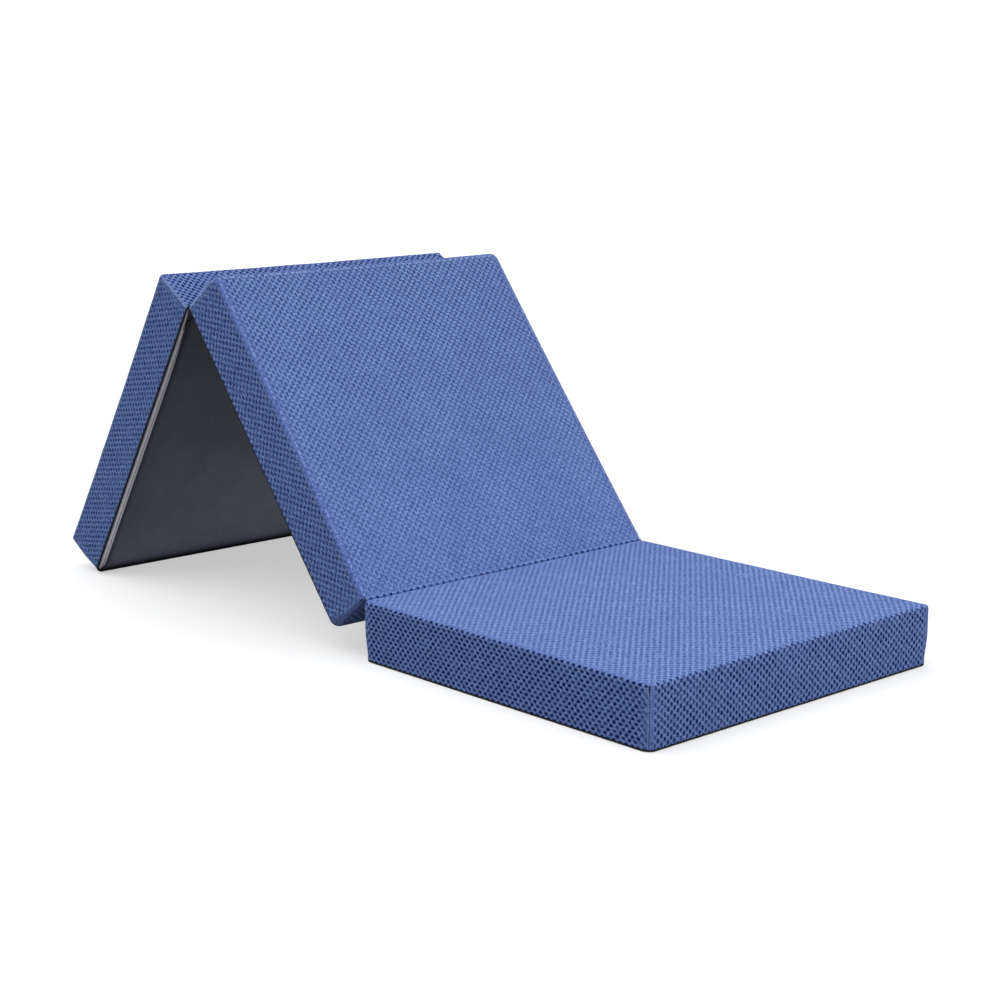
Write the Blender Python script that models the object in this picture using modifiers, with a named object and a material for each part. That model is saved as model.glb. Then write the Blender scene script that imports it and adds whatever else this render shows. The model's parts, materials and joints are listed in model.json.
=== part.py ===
"""Folding sofa bed: three foam panels in a zipped mesh cover, joined by two sewn folds.

The front panel lies flat on the floor. The middle panel leans up from its blue top edge,
and the rear panel leans down again from the middle panel's charcoal underside, like a tent.
Units are metres, +Z is up, and the origin is on the floor under the middle of the front panel.
"""

import math

import bmesh
import bpy
from mathutils import Matrix, Vector

# Driving dimensions
PANEL_LENGTH = 0.633
PANEL_WIDTH = 0.650
PANEL_THICKNESS = 0.100
LEAN_ANGLE = math.radians(51.6)  # middle panel above the floor

# Clearances
SEAT_GAP = 0.0003  # between two pieces that touch
FOLD_GAP = 0.0006  # from a panel's end to the plane of its fold
CUT_OVERRUN = 0.002  # how far a cutter runs past what it cuts

# Mesh cover
COVER_WALL = 0.003
CORNER_RADIUS = 0.016
RIM_RADIUS = 0.008
CROWN = 0.004
DRAW_IN = 0.002  # how far the top edges pull in between the corners
FORM_CUTS = 5  # planes across the cushion each way
ROUND_STEPS = 4

# Foam
BASE_FOAM_TOP = 0.072

# Underside
SHEET_THICKNESS = 0.0025
PIPING_RADIUS = 0.002
PIPING_CORNER_STEPS = 4

# Zip, in the underside along the near edge
ZIP_WIDTH = 0.018  # tape that shows between the piping and the bottom sheet
ZIP_END_MARGIN = 0.020  # from the panel's ends to the ends of the coil
TAPE_THICKNESS = 0.0008
TAPE_HEM = 0.004  # tape that lies over the bottom sheet
COIL_WIDTH = 0.0022
COIL_HEIGHT = 0.0020
COIL_ROUNDING = 0.0009
ZIP_SLIT = 0.0014  # between the two tapes

# Slider and pull
SLIDER_LENGTH = 0.011
SLIDER_WEB = 0.0008
SLIDER_FLANGE = 0.0010
SLIDER_BACK = 0.0009
SLIDER_FLOOR_GAP = 0.0004  # outer plate above the plane of the underside
PULL_WIRE_RADIUS = 0.0005
PULL_LENGTH = 0.014
PULL_BEND_STEPS = 3
SOCKET_DEPTH = 0.0016
SOCKET_CLEARANCE = 0.00025
ZIP_PARK = 0.018  # slider's middle from the end of the coil, room for the pull

SEAM_SIDES = 16
PIN_SIDES = 12
SHARP_ANGLE = math.radians(40)

# Places that follow from the sizes above
half_width = PANEL_WIDTH / 2
piping_zone = 2 * PIPING_RADIUS + SEAT_GAP
cover_low = piping_zone
foam_foot_radius = PIPING_RADIUS + 2 * SEAT_GAP  # clears the piping
zip_near = -half_width + piping_zone
zip_far = zip_near + ZIP_WIDTH
zip_middle = (zip_near + zip_far) / 2
tape_low = SHEET_THICKNESS + SEAT_GAP
coil_low = tape_low + TAPE_THICKNESS + SEAT_GAP
back_low = coil_low + COIL_HEIGHT + SEAT_GAP
back_high = back_low + SLIDER_BACK
plate_high = tape_low - SEAT_GAP
plate_low = SLIDER_FLOOR_GAP
pull_axis_height = (plate_low + plate_high) / 2
coil_far_side = ZIP_SLIT / 2 + COIL_WIDTH
slider_half_width = coil_far_side + SEAT_GAP + SLIDER_FLANGE
pull_bend = PULL_WIRE_RADIUS + SEAT_GAP  # keeps the bail's legs clear of the plate

# The lowest point of the rear panel is its piping, which stands on the floor.
apex_height = (
    PANEL_THICKNESS
    + PANEL_LENGTH * math.sin(LEAN_ANGLE)
    - PANEL_THICKNESS * math.cos(LEAN_ANGLE)
)
foot_reach = PANEL_LENGTH - PIPING_RADIUS
foot_arm = math.hypot(foot_reach, PIPING_RADIUS)
DROP_ANGLE = math.asin((apex_height - PIPING_RADIUS) / foot_arm) + math.atan2(
    PIPING_RADIUS, foot_reach
)

COLOURS = {
    "blue_mesh": ((0.135, 0.210, 0.480), 0.85, 0.0),
    "charcoal_sheet": ((0.036, 0.036, 0.054), 0.90, 0.0),
    "black_piping": ((0.012, 0.012, 0.016), 0.80, 0.0),
    "white_foam": ((0.800, 0.780, 0.700), 0.95, 0.0),
    "cream_foam": ((0.780, 0.700, 0.520), 0.95, 0.0),
    "grey_tape": ((0.230, 0.225, 0.270), 0.75, 0.0),
    "grey_coil": ((0.180, 0.180, 0.210), 0.45, 0.0),
    "zinc": ((0.420, 0.420, 0.440), 0.35, 1.0),
}


def clear_scene():
    for item in list(bpy.data.objects):
        bpy.data.objects.remove(item)


def new_collection(name):
    collection = bpy.data.collections.new(name)
    bpy.context.scene.collection.children.link(collection)
    return collection


def material(name):
    colour, roughness, metallic = COLOURS[name]
    found = bpy.data.materials.get(name) or bpy.data.materials.new(name)
    found.use_nodes = True
    shader = found.node_tree.nodes["Principled BSDF"]
    shader.inputs["Base Color"].default_value = (*colour, 1.0)
    shader.inputs["Roughness"].default_value = roughness
    shader.inputs["Metallic"].default_value = metallic
    return found


def place(data, name, finish, parent, at=(0, 0, 0)):
    """An object for finished mesh or curve data, on the empty or piece that carries it."""
    piece = bpy.data.objects.new(name, data)
    PARTS.objects.link(piece)
    data.materials.append(material(finish))
    piece.parent = parent
    piece.location = at
    return piece


def cutter(data, name, parent, at=(0, 0, 0)):
    tool = bpy.data.objects.new(name, data)
    CUTTERS.objects.link(tool)
    tool.parent = parent
    tool.location = at
    tool.hide_render = True
    tool.display_type = "WIRE"
    return tool


def cut(piece, tool):
    modifier = piece.modifiers.new(f"cut_by_{tool.name}", "BOOLEAN")
    modifier.object = tool
    modifier.operation = "DIFFERENCE"
    modifier.solver = "EXACT"


def pivot(name, at, angle, parent=None):
    """An empty on a fold's axis. It turns about Y, and a positive angle lifts its panel."""
    empty = bpy.data.objects.new(name, None)
    PARTS.objects.link(empty)
    empty.parent = parent
    empty.location = at
    empty.rotation_euler = (0, angle, 0)
    return empty


def finished_mesh(shape, name, smooth=True):
    mesh = bpy.data.meshes.new(name)
    shape.to_mesh(mesh)
    shape.free()
    if smooth:
        mesh.shade_smooth()
        mesh.set_sharp_from_angle(angle=SHARP_ANGLE)
    return mesh


def cuboid(low, high):
    """A box between two corners."""
    low, high = Vector(low), Vector(high)
    shape = bmesh.new()
    bmesh.ops.create_cube(shape, size=1)
    bmesh.ops.scale(shape, vec=high - low, verts=shape.verts)
    bmesh.ops.translate(shape, vec=(low + high) / 2, verts=shape.verts)
    return shape


def box_mesh(name, low, high):
    return finished_mesh(cuboid(low, high), name, smooth=False)


def round_edges(shape, edges, radius):
    bmesh.ops.bevel(
        shape,
        geom=edges,
        offset=radius,
        offset_type="OFFSET",
        segments=ROUND_STEPS,
        profile=0.5,
        affect="EDGES",
    )


def upright_corners(shape):
    """The edges that stand upright between two faces at an angle to each other."""
    found = []
    for edge in shape.edges:
        run = edge.verts[1].co - edge.verts[0].co
        one, other = (face.normal for face in edge.link_faces)
        if abs(run.z) > abs(run.x) + abs(run.y) and one.dot(other) < 0.5:
            found.append(edge)
    return found


def rim(shape, height):
    """The edges between the sides and the level face at that height."""
    return [
        e
        for e in shape.edges
        if all(abs(v.co.z - height) < SEAT_GAP for v in e.verts)
        and any(abs(f.normal.z) < 0.5 for f in e.link_faces)
    ]


class Panel:
    """One foam panel, laid flat in its pivot's frame: its span along X and its underside's height."""

    def __init__(self, name, start, end, underside, carrier):
        self.name = name
        self.start = start
        self.end = end
        self.underside = underside
        self.carrier = carrier
        self.middle = (start + end) / 2
        self.half_length = (end - start) / 2

    def corner(self, x_inset, y_inset, height, side):
        """A corner of a box inside the panel: side -1 is its low end in X and Y, +1 its high end."""
        x = self.middle + side * (self.half_length - x_inset)
        return (x, side * (half_width - y_inset), self.underside + height)


def swell(shape, panel, low, high, crown):
    """Raise the top by crown at its middle, and pull the sides in between the corners.

    Both follow one minus the square of the distance from the middle, so the corners stay.
    The pull grows from nothing at the underside to its full value at the panel's top.
    """
    for vertex in shape.verts:
        along = (vertex.co.x - panel.middle) / panel.half_length
        across = vertex.co.y / half_width
        rise = (vertex.co.z - panel.underside - low) / (high - low)
        height = (vertex.co.z - panel.underside) / PANEL_THICKNESS
        vertex.co.z += crown * (1 - along**2) * (1 - across**2) * rise
        vertex.co.x -= DRAW_IN * along * (1 - across**2) * height
        vertex.co.y -= DRAW_IN * across * (1 - along**2) * height


def cushion(panel, inset, low, high, crown, rim_radius=0, foot_radius=0):
    """A closed block of the panel's form, inset from its sides, with a swollen top."""
    shape = cuboid(
        panel.corner(inset, inset, low, -1), panel.corner(inset, inset, high, 1)
    )
    for n in range(1, FORM_CUTS + 1):
        share = n / (FORM_CUTS + 1)
        for point, normal in (
            ((panel.start + share * (panel.end - panel.start), 0, 0), (1, 0, 0)),
            ((0, -half_width + share * PANEL_WIDTH, 0), (0, 1, 0)),
        ):
            bmesh.ops.bisect_plane(
                shape,
                geom=shape.verts[:] + shape.edges[:] + shape.faces[:],
                plane_co=point,
                plane_no=normal,
            )
    round_edges(shape, upright_corners(shape), CORNER_RADIUS - inset)
    if rim_radius:
        round_edges(shape, rim(shape, panel.underside + high), rim_radius)
    if foot_radius:
        round_edges(shape, rim(shape, panel.underside + low), foot_radius)
    swell(shape, panel, low, high, crown)
    bmesh.ops.triangulate(shape, faces=shape.faces[:], quad_method="FIXED")
    return shape


def make_mesh_cover(panel):
    """The blue mesh over the top and sides: an open form with the wall turned inwards."""
    shape = cushion(panel, 0, cover_low, PANEL_THICKNESS, CROWN, RIM_RADIUS)
    floor = [f for f in shape.faces if f.normal.z < -0.9]
    bmesh.ops.delete(shape, geom=floor, context="FACES")
    cover = place(
        finished_mesh(shape, f"{panel.name}_mesh_cover"),
        f"{panel.name}_mesh_cover",
        "blue_mesh",
        panel.carrier,
    )
    wall = cover.modifiers.new("wall", "SOLIDIFY")
    wall.thickness = COVER_WALL
    wall.offset = -1
    wall.use_even_offset = True
    return cover


def make_foams(panel):
    """The firm base block, relieved over the zip, and the softer layer glued on top of it."""
    inset = COVER_WALL + SEAT_GAP
    block = cushion(panel, inset, tape_low, BASE_FOAM_TOP, 0, foot_radius=foam_foot_radius)
    base = place(
        finished_mesh(block, "base_foam"),
        f"{panel.name}_base_foam",
        "white_foam",
        panel.carrier,
    )
    relief_high = panel.underside + back_high + SEAT_GAP
    relief_far = zip_far + TAPE_HEM + SEAT_GAP
    relief = box_mesh(
        "zip_relief",
        (panel.start - CUT_OVERRUN, -half_width - CUT_OVERRUN, panel.underside - CUT_OVERRUN),
        (panel.end + CUT_OVERRUN, relief_far, relief_high),
    )
    cut(base, cutter(relief, f"{panel.name}_zip_relief", panel.carrier))
    top = PANEL_THICKNESS - inset
    comfort_low = BASE_FOAM_TOP + SEAT_GAP
    layer = cushion(panel, inset, comfort_low, top, CROWN, RIM_RADIUS - inset)
    place(
        finished_mesh(layer, "comfort_foam"),
        f"{panel.name}_comfort_foam",
        "cream_foam",
        panel.carrier,
    )


def band(panel, low, high, y_low, y_high):
    """A lengthwise strip of the area inside the piping, so its ends follow the round corners."""
    inset = piping_zone
    shape = cuboid(panel.corner(inset, inset, low, -1), panel.corner(inset, inset, high, 1))
    round_edges(shape, upright_corners(shape), CORNER_RADIUS - inset)
    for y, outward in ((y_low, -1), (y_high, 1)):
        if abs(y) >= half_width - inset:
            continue
        found = bmesh.ops.bisect_plane(
            shape,
            geom=shape.verts[:] + shape.edges[:] + shape.faces[:],
            plane_co=(0, y, 0),
            plane_no=(0, outward, 0),
            clear_outer=True,
        )
        rim_edges = [e for e in found["geom_cut"] if isinstance(e, bmesh.types.BMEdge)]
        bmesh.ops.edgeloop_fill(shape, edges=rim_edges)
    bmesh.ops.recalc_face_normals(shape, faces=shape.faces)
    return finished_mesh(shape, "band")


def make_bottom_sheet(panel):
    """The charcoal fabric inside the piping, from the zip to the far side."""
    sheet = band(panel, 0, SHEET_THICKNESS, zip_far, half_width)
    place(sheet, f"{panel.name}_bottom_sheet", "charcoal_sheet", panel.carrier)


def rounded_path(corners, radius, steps, closed):
    """A run of points through the corners, each corner replaced by an arc of the radius."""
    count = len(corners)
    points = []
    for n, corner in enumerate(corners):
        if not closed and n in (0, count - 1):
            points.append(corner)
            continue
        ahead = (corners[(n + 1) % count] - corner).normalized()
        behind = (corner - corners[n - 1]).normalized()
        turn = behind.angle(ahead)
        inward = (ahead - behind * behind.dot(ahead)).normalized()
        start = corner - behind * radius * math.tan(turn / 2)
        centre = start + inward * radius
        for k in range(steps + 1):
            angle = turn * k / steps
            sweep = behind * math.sin(angle) - inward * math.cos(angle)
            points.append(centre + sweep * radius)
    return points


def wire(name, points, radius, closed):
    """A tube along the points."""
    curve = bpy.data.curves.new(name, "CURVE")
    curve.dimensions = "3D"
    curve.bevel_depth = radius
    curve.bevel_resolution = 2
    curve.use_fill_caps = not closed
    spline = curve.splines.new("POLY")
    spline.points.add(len(points) - 1)
    for target, point in zip(spline.points, points):
        target.co = (*point, 1)
    spline.use_cyclic_u = closed
    return curve


def make_edge_piping(panel):
    """The black cord sewn round the bottom edge."""
    height = panel.underside + PIPING_RADIUS
    first, last = panel.start + PIPING_RADIUS, panel.end - PIPING_RADIUS
    side = half_width - PIPING_RADIUS
    corners = [
        Vector(p)
        for p in (
            (first, -side, height),
            (last, -side, height),
            (last, side, height),
            (first, side, height),
        )
    ]
    loop = rounded_path(corners, CORNER_RADIUS - PIPING_RADIUS, PIPING_CORNER_STEPS, True)
    place(
        wire("edge_piping", loop, PIPING_RADIUS, True),
        f"{panel.name}_edge_piping",
        "black_piping",
        panel.carrier,
    )


def coil_mesh(name, low, high):
    """One side of the closed coil: a bar whose two inner edges are rounded."""
    shape = cuboid(low, high)
    ridge = [
        e
        for e in shape.edges
        if all(v.co.z > (low[2] + high[2]) / 2 for v in e.verts)
        and abs(e.verts[0].co.x - e.verts[1].co.x) > COIL_WIDTH
    ]
    round_edges(shape, ridge, COIL_ROUNDING)
    return finished_mesh(shape, name)


def coil_ends(panel):
    return panel.start + ZIP_END_MARGIN, panel.end - ZIP_END_MARGIN


def make_zip_strips(panel):
    """Two tapes with a slit between them, and a coil behind each tape's inner edge."""
    first, last = coil_ends(panel)
    z = panel.underside
    near_inner, far_inner = zip_middle - ZIP_SLIT / 2, zip_middle + ZIP_SLIT / 2
    tapes = {
        "near": (zip_near, near_inner),
        "far": (far_inner, zip_far + TAPE_HEM),
    }
    coils = {
        "near": (near_inner - COIL_WIDTH, near_inner),
        "far": (far_inner, far_inner + COIL_WIDTH),
    }
    for side, (y_low, y_high) in tapes.items():
        tape = band(panel, tape_low, tape_low + TAPE_THICKNESS, y_low, y_high)
        place(tape, f"{panel.name}_zip_tape_{side}", "grey_tape", panel.carrier)
    for side, (y_low, y_high) in coils.items():
        coil = coil_mesh(
            f"zip_coil_{side}",
            (first, y_low, z + coil_low),
            (last, y_high, z + coil_low + COIL_HEIGHT),
        )
        place(coil, f"{panel.name}_zip_coil_{side}", "grey_coil", panel.carrier)


def slider_outline():
    """The slider's section: outer plate, web through the slit, and a back with two flanges.

    Points are (across, height above the underside), anticlockwise.
    """
    half, web = slider_half_width, SLIDER_WEB / 2
    inside = half - SLIDER_FLANGE
    right = [
        (half, plate_low),
        (half, plate_high),
        (web, plate_high),
        (web, back_low),
        (inside, back_low),
        (inside, coil_low),
        (half, coil_low),
        (half, back_high),
    ]
    left = [(-across, height) for across, height in reversed(right)]
    return right + left


def extruded_outline(name, outline, length):
    """A flat outline in Y and Z, given thickness along X, as a mesh."""
    curve = bpy.data.curves.new(name, "CURVE")
    curve.dimensions = "2D"
    curve.fill_mode = "BOTH"
    curve.extrude = length / 2
    spline = curve.splines.new("POLY")
    spline.points.add(len(outline) - 1)
    for target, (across, height) in zip(spline.points, outline):
        target.co = (across, height, 0, 1)
    spline.use_cyclic_u = True
    holder = bpy.data.objects.new(name, curve)
    CUTTERS.objects.link(holder)
    depsgraph = bpy.context.evaluated_depsgraph_get()
    mesh = bpy.data.meshes.new_from_object(holder.evaluated_get(depsgraph))
    bpy.data.objects.remove(holder)
    shape = bmesh.new()
    shape.from_mesh(mesh)
    bpy.data.meshes.remove(mesh)
    bmesh.ops.remove_doubles(shape, verts=shape.verts, dist=SEAT_GAP / 10)
    turn = Matrix(((0, 0, 1), (1, 0, 0), (0, 1, 0))).to_4x4()
    bmesh.ops.transform(shape, matrix=turn, verts=shape.verts)
    bmesh.ops.recalc_face_normals(shape, faces=shape.faces)
    return finished_mesh(shape, name, smooth=False)


def cross_pin(name, radius, length, sides):
    """A round bar along Y, centred on its origin."""
    shape = bmesh.new()
    bmesh.ops.create_cone(
        shape, cap_ends=True, segments=sides, radius1=radius, radius2=radius, depth=length
    )
    turn = Matrix.Rotation(math.pi / 2, 3, "X")
    bmesh.ops.rotate(shape, matrix=turn, verts=shape.verts)
    return finished_mesh(shape, name)


def make_slider_and_pull(panel, closed_end):
    """The slider parked at the fold end, and the wire bail that swings in its outer plate."""
    first, last = coil_ends(panel)
    park = first + ZIP_PARK if closed_end < 0 else last - ZIP_PARK
    slider = place(
        extruded_outline("zip_slider", slider_outline(), SLIDER_LENGTH),
        f"{panel.name}_zip_slider",
        "zinc",
        panel.carrier,
        (park, zip_middle, panel.underside),
    )
    socket_radius = PULL_WIRE_RADIUS + SOCKET_CLEARANCE
    for side in (-1, 1):
        middle = side * (slider_half_width - (SOCKET_DEPTH - CUT_OVERRUN) / 2)
        bore = cross_pin("socket", socket_radius, SOCKET_DEPTH + CUT_OVERRUN, PIN_SIDES)
        tool_name = f"{panel.name}_pull_socket_{'near' if side < 0 else 'far'}"
        cut(slider, cutter(bore, tool_name, slider, (0, middle, pull_axis_height)))
    reach = slider_half_width + pull_bend
    tip = slider_half_width - SOCKET_DEPTH + SEAT_GAP
    away = -closed_end * PULL_LENGTH
    corners = [
        Vector(p)
        for p in (
            (0, -tip, 0),
            (0, -reach, 0),
            (away, -reach, 0),
            (away, reach, 0),
            (0, reach, 0),
            (0, tip, 0),
        )
    ]
    points = rounded_path(corners, pull_bend, PULL_BEND_STEPS, False)
    place(
        wire("zip_pull", points, PULL_WIRE_RADIUS, False),
        f"{panel.name}_zip_pull",
        "zinc",
        slider,
        (0, 0, pull_axis_height),
    )


def make_front_seam(carrier):
    """The rolled seam in the blue face, in the groove between the two rounded rims."""
    groove = math.hypot(RIM_RADIUS + FOLD_GAP, RIM_RADIUS) - RIM_RADIUS
    length = PANEL_WIDTH - 2 * CORNER_RADIUS
    bead = cross_pin("front_seam", groove - SEAT_GAP, length, SEAM_SIDES)
    place(bead, "front_hinge_seam", "blue_mesh", carrier)


def make_rear_seam(carrier):
    """The stitched seam in the underside, between the two pipings."""
    to_piping = math.hypot(FOLD_GAP + PIPING_RADIUS, PIPING_RADIUS) - PIPING_RADIUS
    length = PANEL_WIDTH - 2 * CORNER_RADIUS
    bead = cross_pin("rear_seam", to_piping - SEAT_GAP, length, SEAM_SIDES)
    place(bead, "rear_hinge_seam", "black_piping", carrier)


def make_panel(panel, closed_end):
    make_mesh_cover(panel)
    make_foams(panel)
    make_bottom_sheet(panel)
    make_edge_piping(panel)
    make_zip_strips(panel)
    make_slider_and_pull(panel, closed_end)


def build():
    fold_x = -PANEL_LENGTH / 2
    front_fold = pivot("front_fold", (fold_x, 0, PANEL_THICKNESS), LEAN_ANGLE)
    rear_fold = pivot(
        "rear_fold",
        (-PANEL_LENGTH, 0, -PANEL_THICKNESS),
        -LEAN_ANGLE - DROP_ANGLE,
        front_fold,
    )
    front_base = pivot("front_base", (fold_x, 0, 0), 0)
    panels = (
        (Panel("front", FOLD_GAP, PANEL_LENGTH, 0, front_base), -1),
        (
            Panel(
                "middle",
                FOLD_GAP - PANEL_LENGTH,
                -FOLD_GAP,
                -PANEL_THICKNESS,
                front_fold,
            ),
            1,
        ),
        (Panel("rear", -PANEL_LENGTH, -FOLD_GAP, 0, rear_fold), 1),
    )
    for panel, closed_end in panels:
        make_panel(panel, closed_end)
    seam_line = pivot("front_seam_line", (fold_x, 0, PANEL_THICKNESS), 0)
    make_front_seam(seam_line)
    rear_seam_line = pivot(
        "rear_seam_line", (-PANEL_LENGTH, 0, -PANEL_THICKNESS), 0, front_fold
    )
    make_rear_seam(rear_seam_line)
    bpy.context.view_layer.update()
    for joint in (front_fold, rear_fold):
        print(joint.name, tuple(round(c, 6) for c in joint.matrix_world.translation))
    print("drop angle", round(math.degrees(DROP_ANGLE), 4))


clear_scene()
PARTS = new_collection("folding_sofa_bed")
CUTTERS = new_collection("cutters")
build()
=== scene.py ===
# %% [markdown]
# A folding foam bed in three panels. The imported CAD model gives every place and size, and
# this script dresses it: knitted mesh covers with real dimples, dark stretched undersides,
# sewn piping, zips and foam. Each step says what the real thing is and why it is made so.

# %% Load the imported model
import json
import math

import bpy
import numpy as np
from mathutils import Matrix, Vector


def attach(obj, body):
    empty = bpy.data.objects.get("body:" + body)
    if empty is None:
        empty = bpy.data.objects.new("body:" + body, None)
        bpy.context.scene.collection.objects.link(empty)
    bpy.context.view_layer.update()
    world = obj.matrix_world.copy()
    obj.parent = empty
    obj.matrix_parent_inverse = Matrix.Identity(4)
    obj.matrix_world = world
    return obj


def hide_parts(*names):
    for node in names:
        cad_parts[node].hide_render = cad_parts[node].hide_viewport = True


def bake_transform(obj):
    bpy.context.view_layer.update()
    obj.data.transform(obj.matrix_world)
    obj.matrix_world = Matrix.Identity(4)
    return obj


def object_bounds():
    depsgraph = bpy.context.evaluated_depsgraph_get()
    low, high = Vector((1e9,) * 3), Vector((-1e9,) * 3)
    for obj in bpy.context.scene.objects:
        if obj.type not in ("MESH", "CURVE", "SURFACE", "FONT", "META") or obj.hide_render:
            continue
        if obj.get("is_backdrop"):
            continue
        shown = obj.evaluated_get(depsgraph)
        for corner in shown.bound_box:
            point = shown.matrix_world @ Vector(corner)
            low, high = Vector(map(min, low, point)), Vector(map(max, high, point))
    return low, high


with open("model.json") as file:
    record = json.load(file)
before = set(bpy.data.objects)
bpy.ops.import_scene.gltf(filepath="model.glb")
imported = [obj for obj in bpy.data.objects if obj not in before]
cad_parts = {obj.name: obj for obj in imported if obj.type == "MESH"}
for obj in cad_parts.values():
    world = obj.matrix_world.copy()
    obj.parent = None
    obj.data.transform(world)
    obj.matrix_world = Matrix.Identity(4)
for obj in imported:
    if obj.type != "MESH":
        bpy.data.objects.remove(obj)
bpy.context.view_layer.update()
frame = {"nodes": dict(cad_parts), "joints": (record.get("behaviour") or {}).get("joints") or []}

# %% [markdown]
# Three panels are the same thing turned three ways. So each is measured once in its own
# axes: along its length, across its width (always the world's Y) and up, from the charcoal
# underside to the blue face. Every piece is then worked out in those axes and carried to its
# place at the end, which leaves its object at the origin.

# %% Measure each panel in its own axes
ACROSS = np.array((0.0, 1.0, 0.0))
CROWN = 0.004  # how far the middle of the blue face stands above its edges
TRAVEL = {joint["name"]: np.array(joint["axis"], float) for joint in frame["joints"]}
FOLD = {joint["name"]: joint.get("pos_m") for joint in frame["joints"]}


def node_points(name):
    """The places of a CAD node's vertices, as an array of rows."""
    mesh = frame["nodes"][name].data
    flat = np.empty(len(mesh.vertices) * 3, np.float32)
    mesh.vertices.foreach_get("co", flat)
    return flat.reshape(-1, 3).astype(float)


class Panel:
    """One panel: the directions of its length, width and thickness, and its half sizes."""

    def __init__(self, name):
        self.name = name
        self.body = f"{name}_panel"
        cover, piping = (node_points(f"{name}_{p}") for p in ("mesh_cover", "edge_piping"))
        along = TRAVEL[f"{name}_zip_travel"]
        along = along / np.linalg.norm(along)
        if np.cross(along, ACROSS) @ (cover.mean(0) - piping.mean(0)) < 0:
            along = -along
        self.axes = np.array((along, ACROSS, np.cross(along, ACROSS)))
        every = np.concatenate((cover, piping)) @ self.axes.T
        low, high = every.min(0), every.max(0)
        self.origin = np.array(((low[0] + high[0]) / 2, 0.0, low[2])) @ self.axes
        self.half_length = (high[0] - low[0]) / 2
        self.half_width = (high[1] - low[1]) / 2
        self.top = high[2] - low[2] - CROWN

    def to_world(self, local):
        """Points in the panel's own axes, carried to their place in the world."""
        return local @ self.axes + self.origin


PANELS = [Panel(name) for name in ("front", "middle", "rear")]
for panel in PANELS:
    print(panel.name, "half length", round(panel.half_length, 4), "rim height", round(panel.top, 4))

# %% [markdown]
# The stage is a white studio: one broad soft light overhead, a weaker one on the right, and
# a pale floor. A white floor throws so much light up that dark cloth goes flat, so the floor
# shows white to the camera and gives back less light to the object, as grey cards would do.

# %% Helpers for materials and lights


def new_material(name):
    """An empty material with a Principled shader, and the tree that its nodes go in."""
    material = bpy.data.materials.new(name)
    material.use_nodes = True
    return material, material.node_tree, material.node_tree.nodes["Principled BSDF"]


def add_node(tree, kind, inputs=(), **settings):
    """A node of that kind. Inputs are (socket, value) pairs, and a value may be a socket."""
    made = tree.nodes.new(kind)
    for key, value in settings.items():
        setattr(made, key, value)
    for socket, value in inputs:
        if isinstance(value, bpy.types.NodeSocket):
            tree.links.new(value, made.inputs[socket])
        else:
            made.inputs[socket].default_value = value
    return made


def ramp(tree, value, from_low, from_high, to_low=0, to_high=1, kind="SMOOTHSTEP"):
    """A value carried from one range to another, in an S-shaped run unless told otherwise."""
    inputs = (
        ("Value", value), ("From Min", from_low), ("From Max", from_high),
        ("To Min", to_low), ("To Max", to_high),
    )
    return add_node(tree, "ShaderNodeMapRange", inputs, interpolation_type=kind).outputs["Result"]


def for_camera(tree, shown, otherwise):
    """One number where the camera itself looks, and another for every other ray of light."""
    seen = add_node(tree, "ShaderNodeLightPath").outputs["Is Camera Ray"]
    return ramp(tree, seen, 0, 1, otherwise, shown, "LINEAR")


def add_light(name, kind, place, target, energy, **settings):
    """A light at a place that shines towards a target. Settings are the lamp's own."""
    lamp = bpy.data.lights.new(name, kind)
    lamp.energy = energy
    for key, value in settings.items():
        setattr(lamp, key, value)
    holder = bpy.data.objects.new(name, lamp)
    scene.collection.objects.link(holder)
    holder.location = place
    holder.rotation_euler = (Vector(target) - Vector(place)).to_track_quat("-Z", "Y").to_euler()
    return holder


scene = bpy.context.scene
print("scene to fill:", scene.name)

# %% Camera, sky and lights
CAMERA_PLACE = (2.1987, -2.3326, 0.9358)
CAMERA_TURN = (math.radians(78.2), math.radians(0.08), math.radians(47.453))
LENS_MM = 74.25
SIGHT = 100  # how far the camera sees, in metres
SKY_TINT = (1.03, 0.97, 1.0, 1)
BACKDROP, AMBIENT = 1.1, 0.30  # strength of the sky as the camera sees it, and as a light
SUN_TOWARDS, SUN_STRENGTH, SUN_TINT = (0.25, 0.12, -1.0), 2.1, (0.975, 1.01, 1.0)
SUN_SPREAD = math.radians(80)  # a wide sun makes soft shadows
FILL_PLACE, FILL_TARGET, FILL_WATTS = (3.3, 0.5, 1.2), (0, 0, 0.25), 30

scene.view_settings.view_transform = "Standard"
camera = bpy.data.objects.new("camera", bpy.data.cameras.new("camera"))
scene.collection.objects.link(camera)
camera.location = CAMERA_PLACE
camera.rotation_euler = CAMERA_TURN
camera.data.lens = LENS_MM
camera.data.clip_end = SIGHT
scene.camera = camera

world = scene.world or bpy.data.worlds.new("studio")
scene.world = world
world.use_nodes = True
sky = world.node_tree.nodes["Background"]
sky.inputs["Color"].default_value = SKY_TINT
strength = for_camera(world.node_tree, BACKDROP, AMBIENT)
world.node_tree.links.new(strength, sky.inputs["Strength"])

add_light(
    "overhead", "SUN", (0, 0, 0), SUN_TOWARDS, SUN_STRENGTH, angle=SUN_SPREAD, color=SUN_TINT
)
add_light(
    "right_fill", "AREA", FILL_PLACE, FILL_TARGET, FILL_WATTS,
    shape="RECTANGLE", size=2.2, size_y=1.8,
)
print("camera at", CAMERA_PLACE, "with a lens of", LENS_MM, "mm")

# %% Floor
FLOOR_WHITE, FLOOR_BOUNCE = 0.62, 0.30  # how pale the camera sees it, and how pale it acts
FLOOR_LIFT = 0.50  # brings the floor up to the white of the backdrop and thins the shadows
FLOOR_HALF = 150
FLOOR_DROP = 0.0004  # leaves a hair of air under the lowest piece

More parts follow.
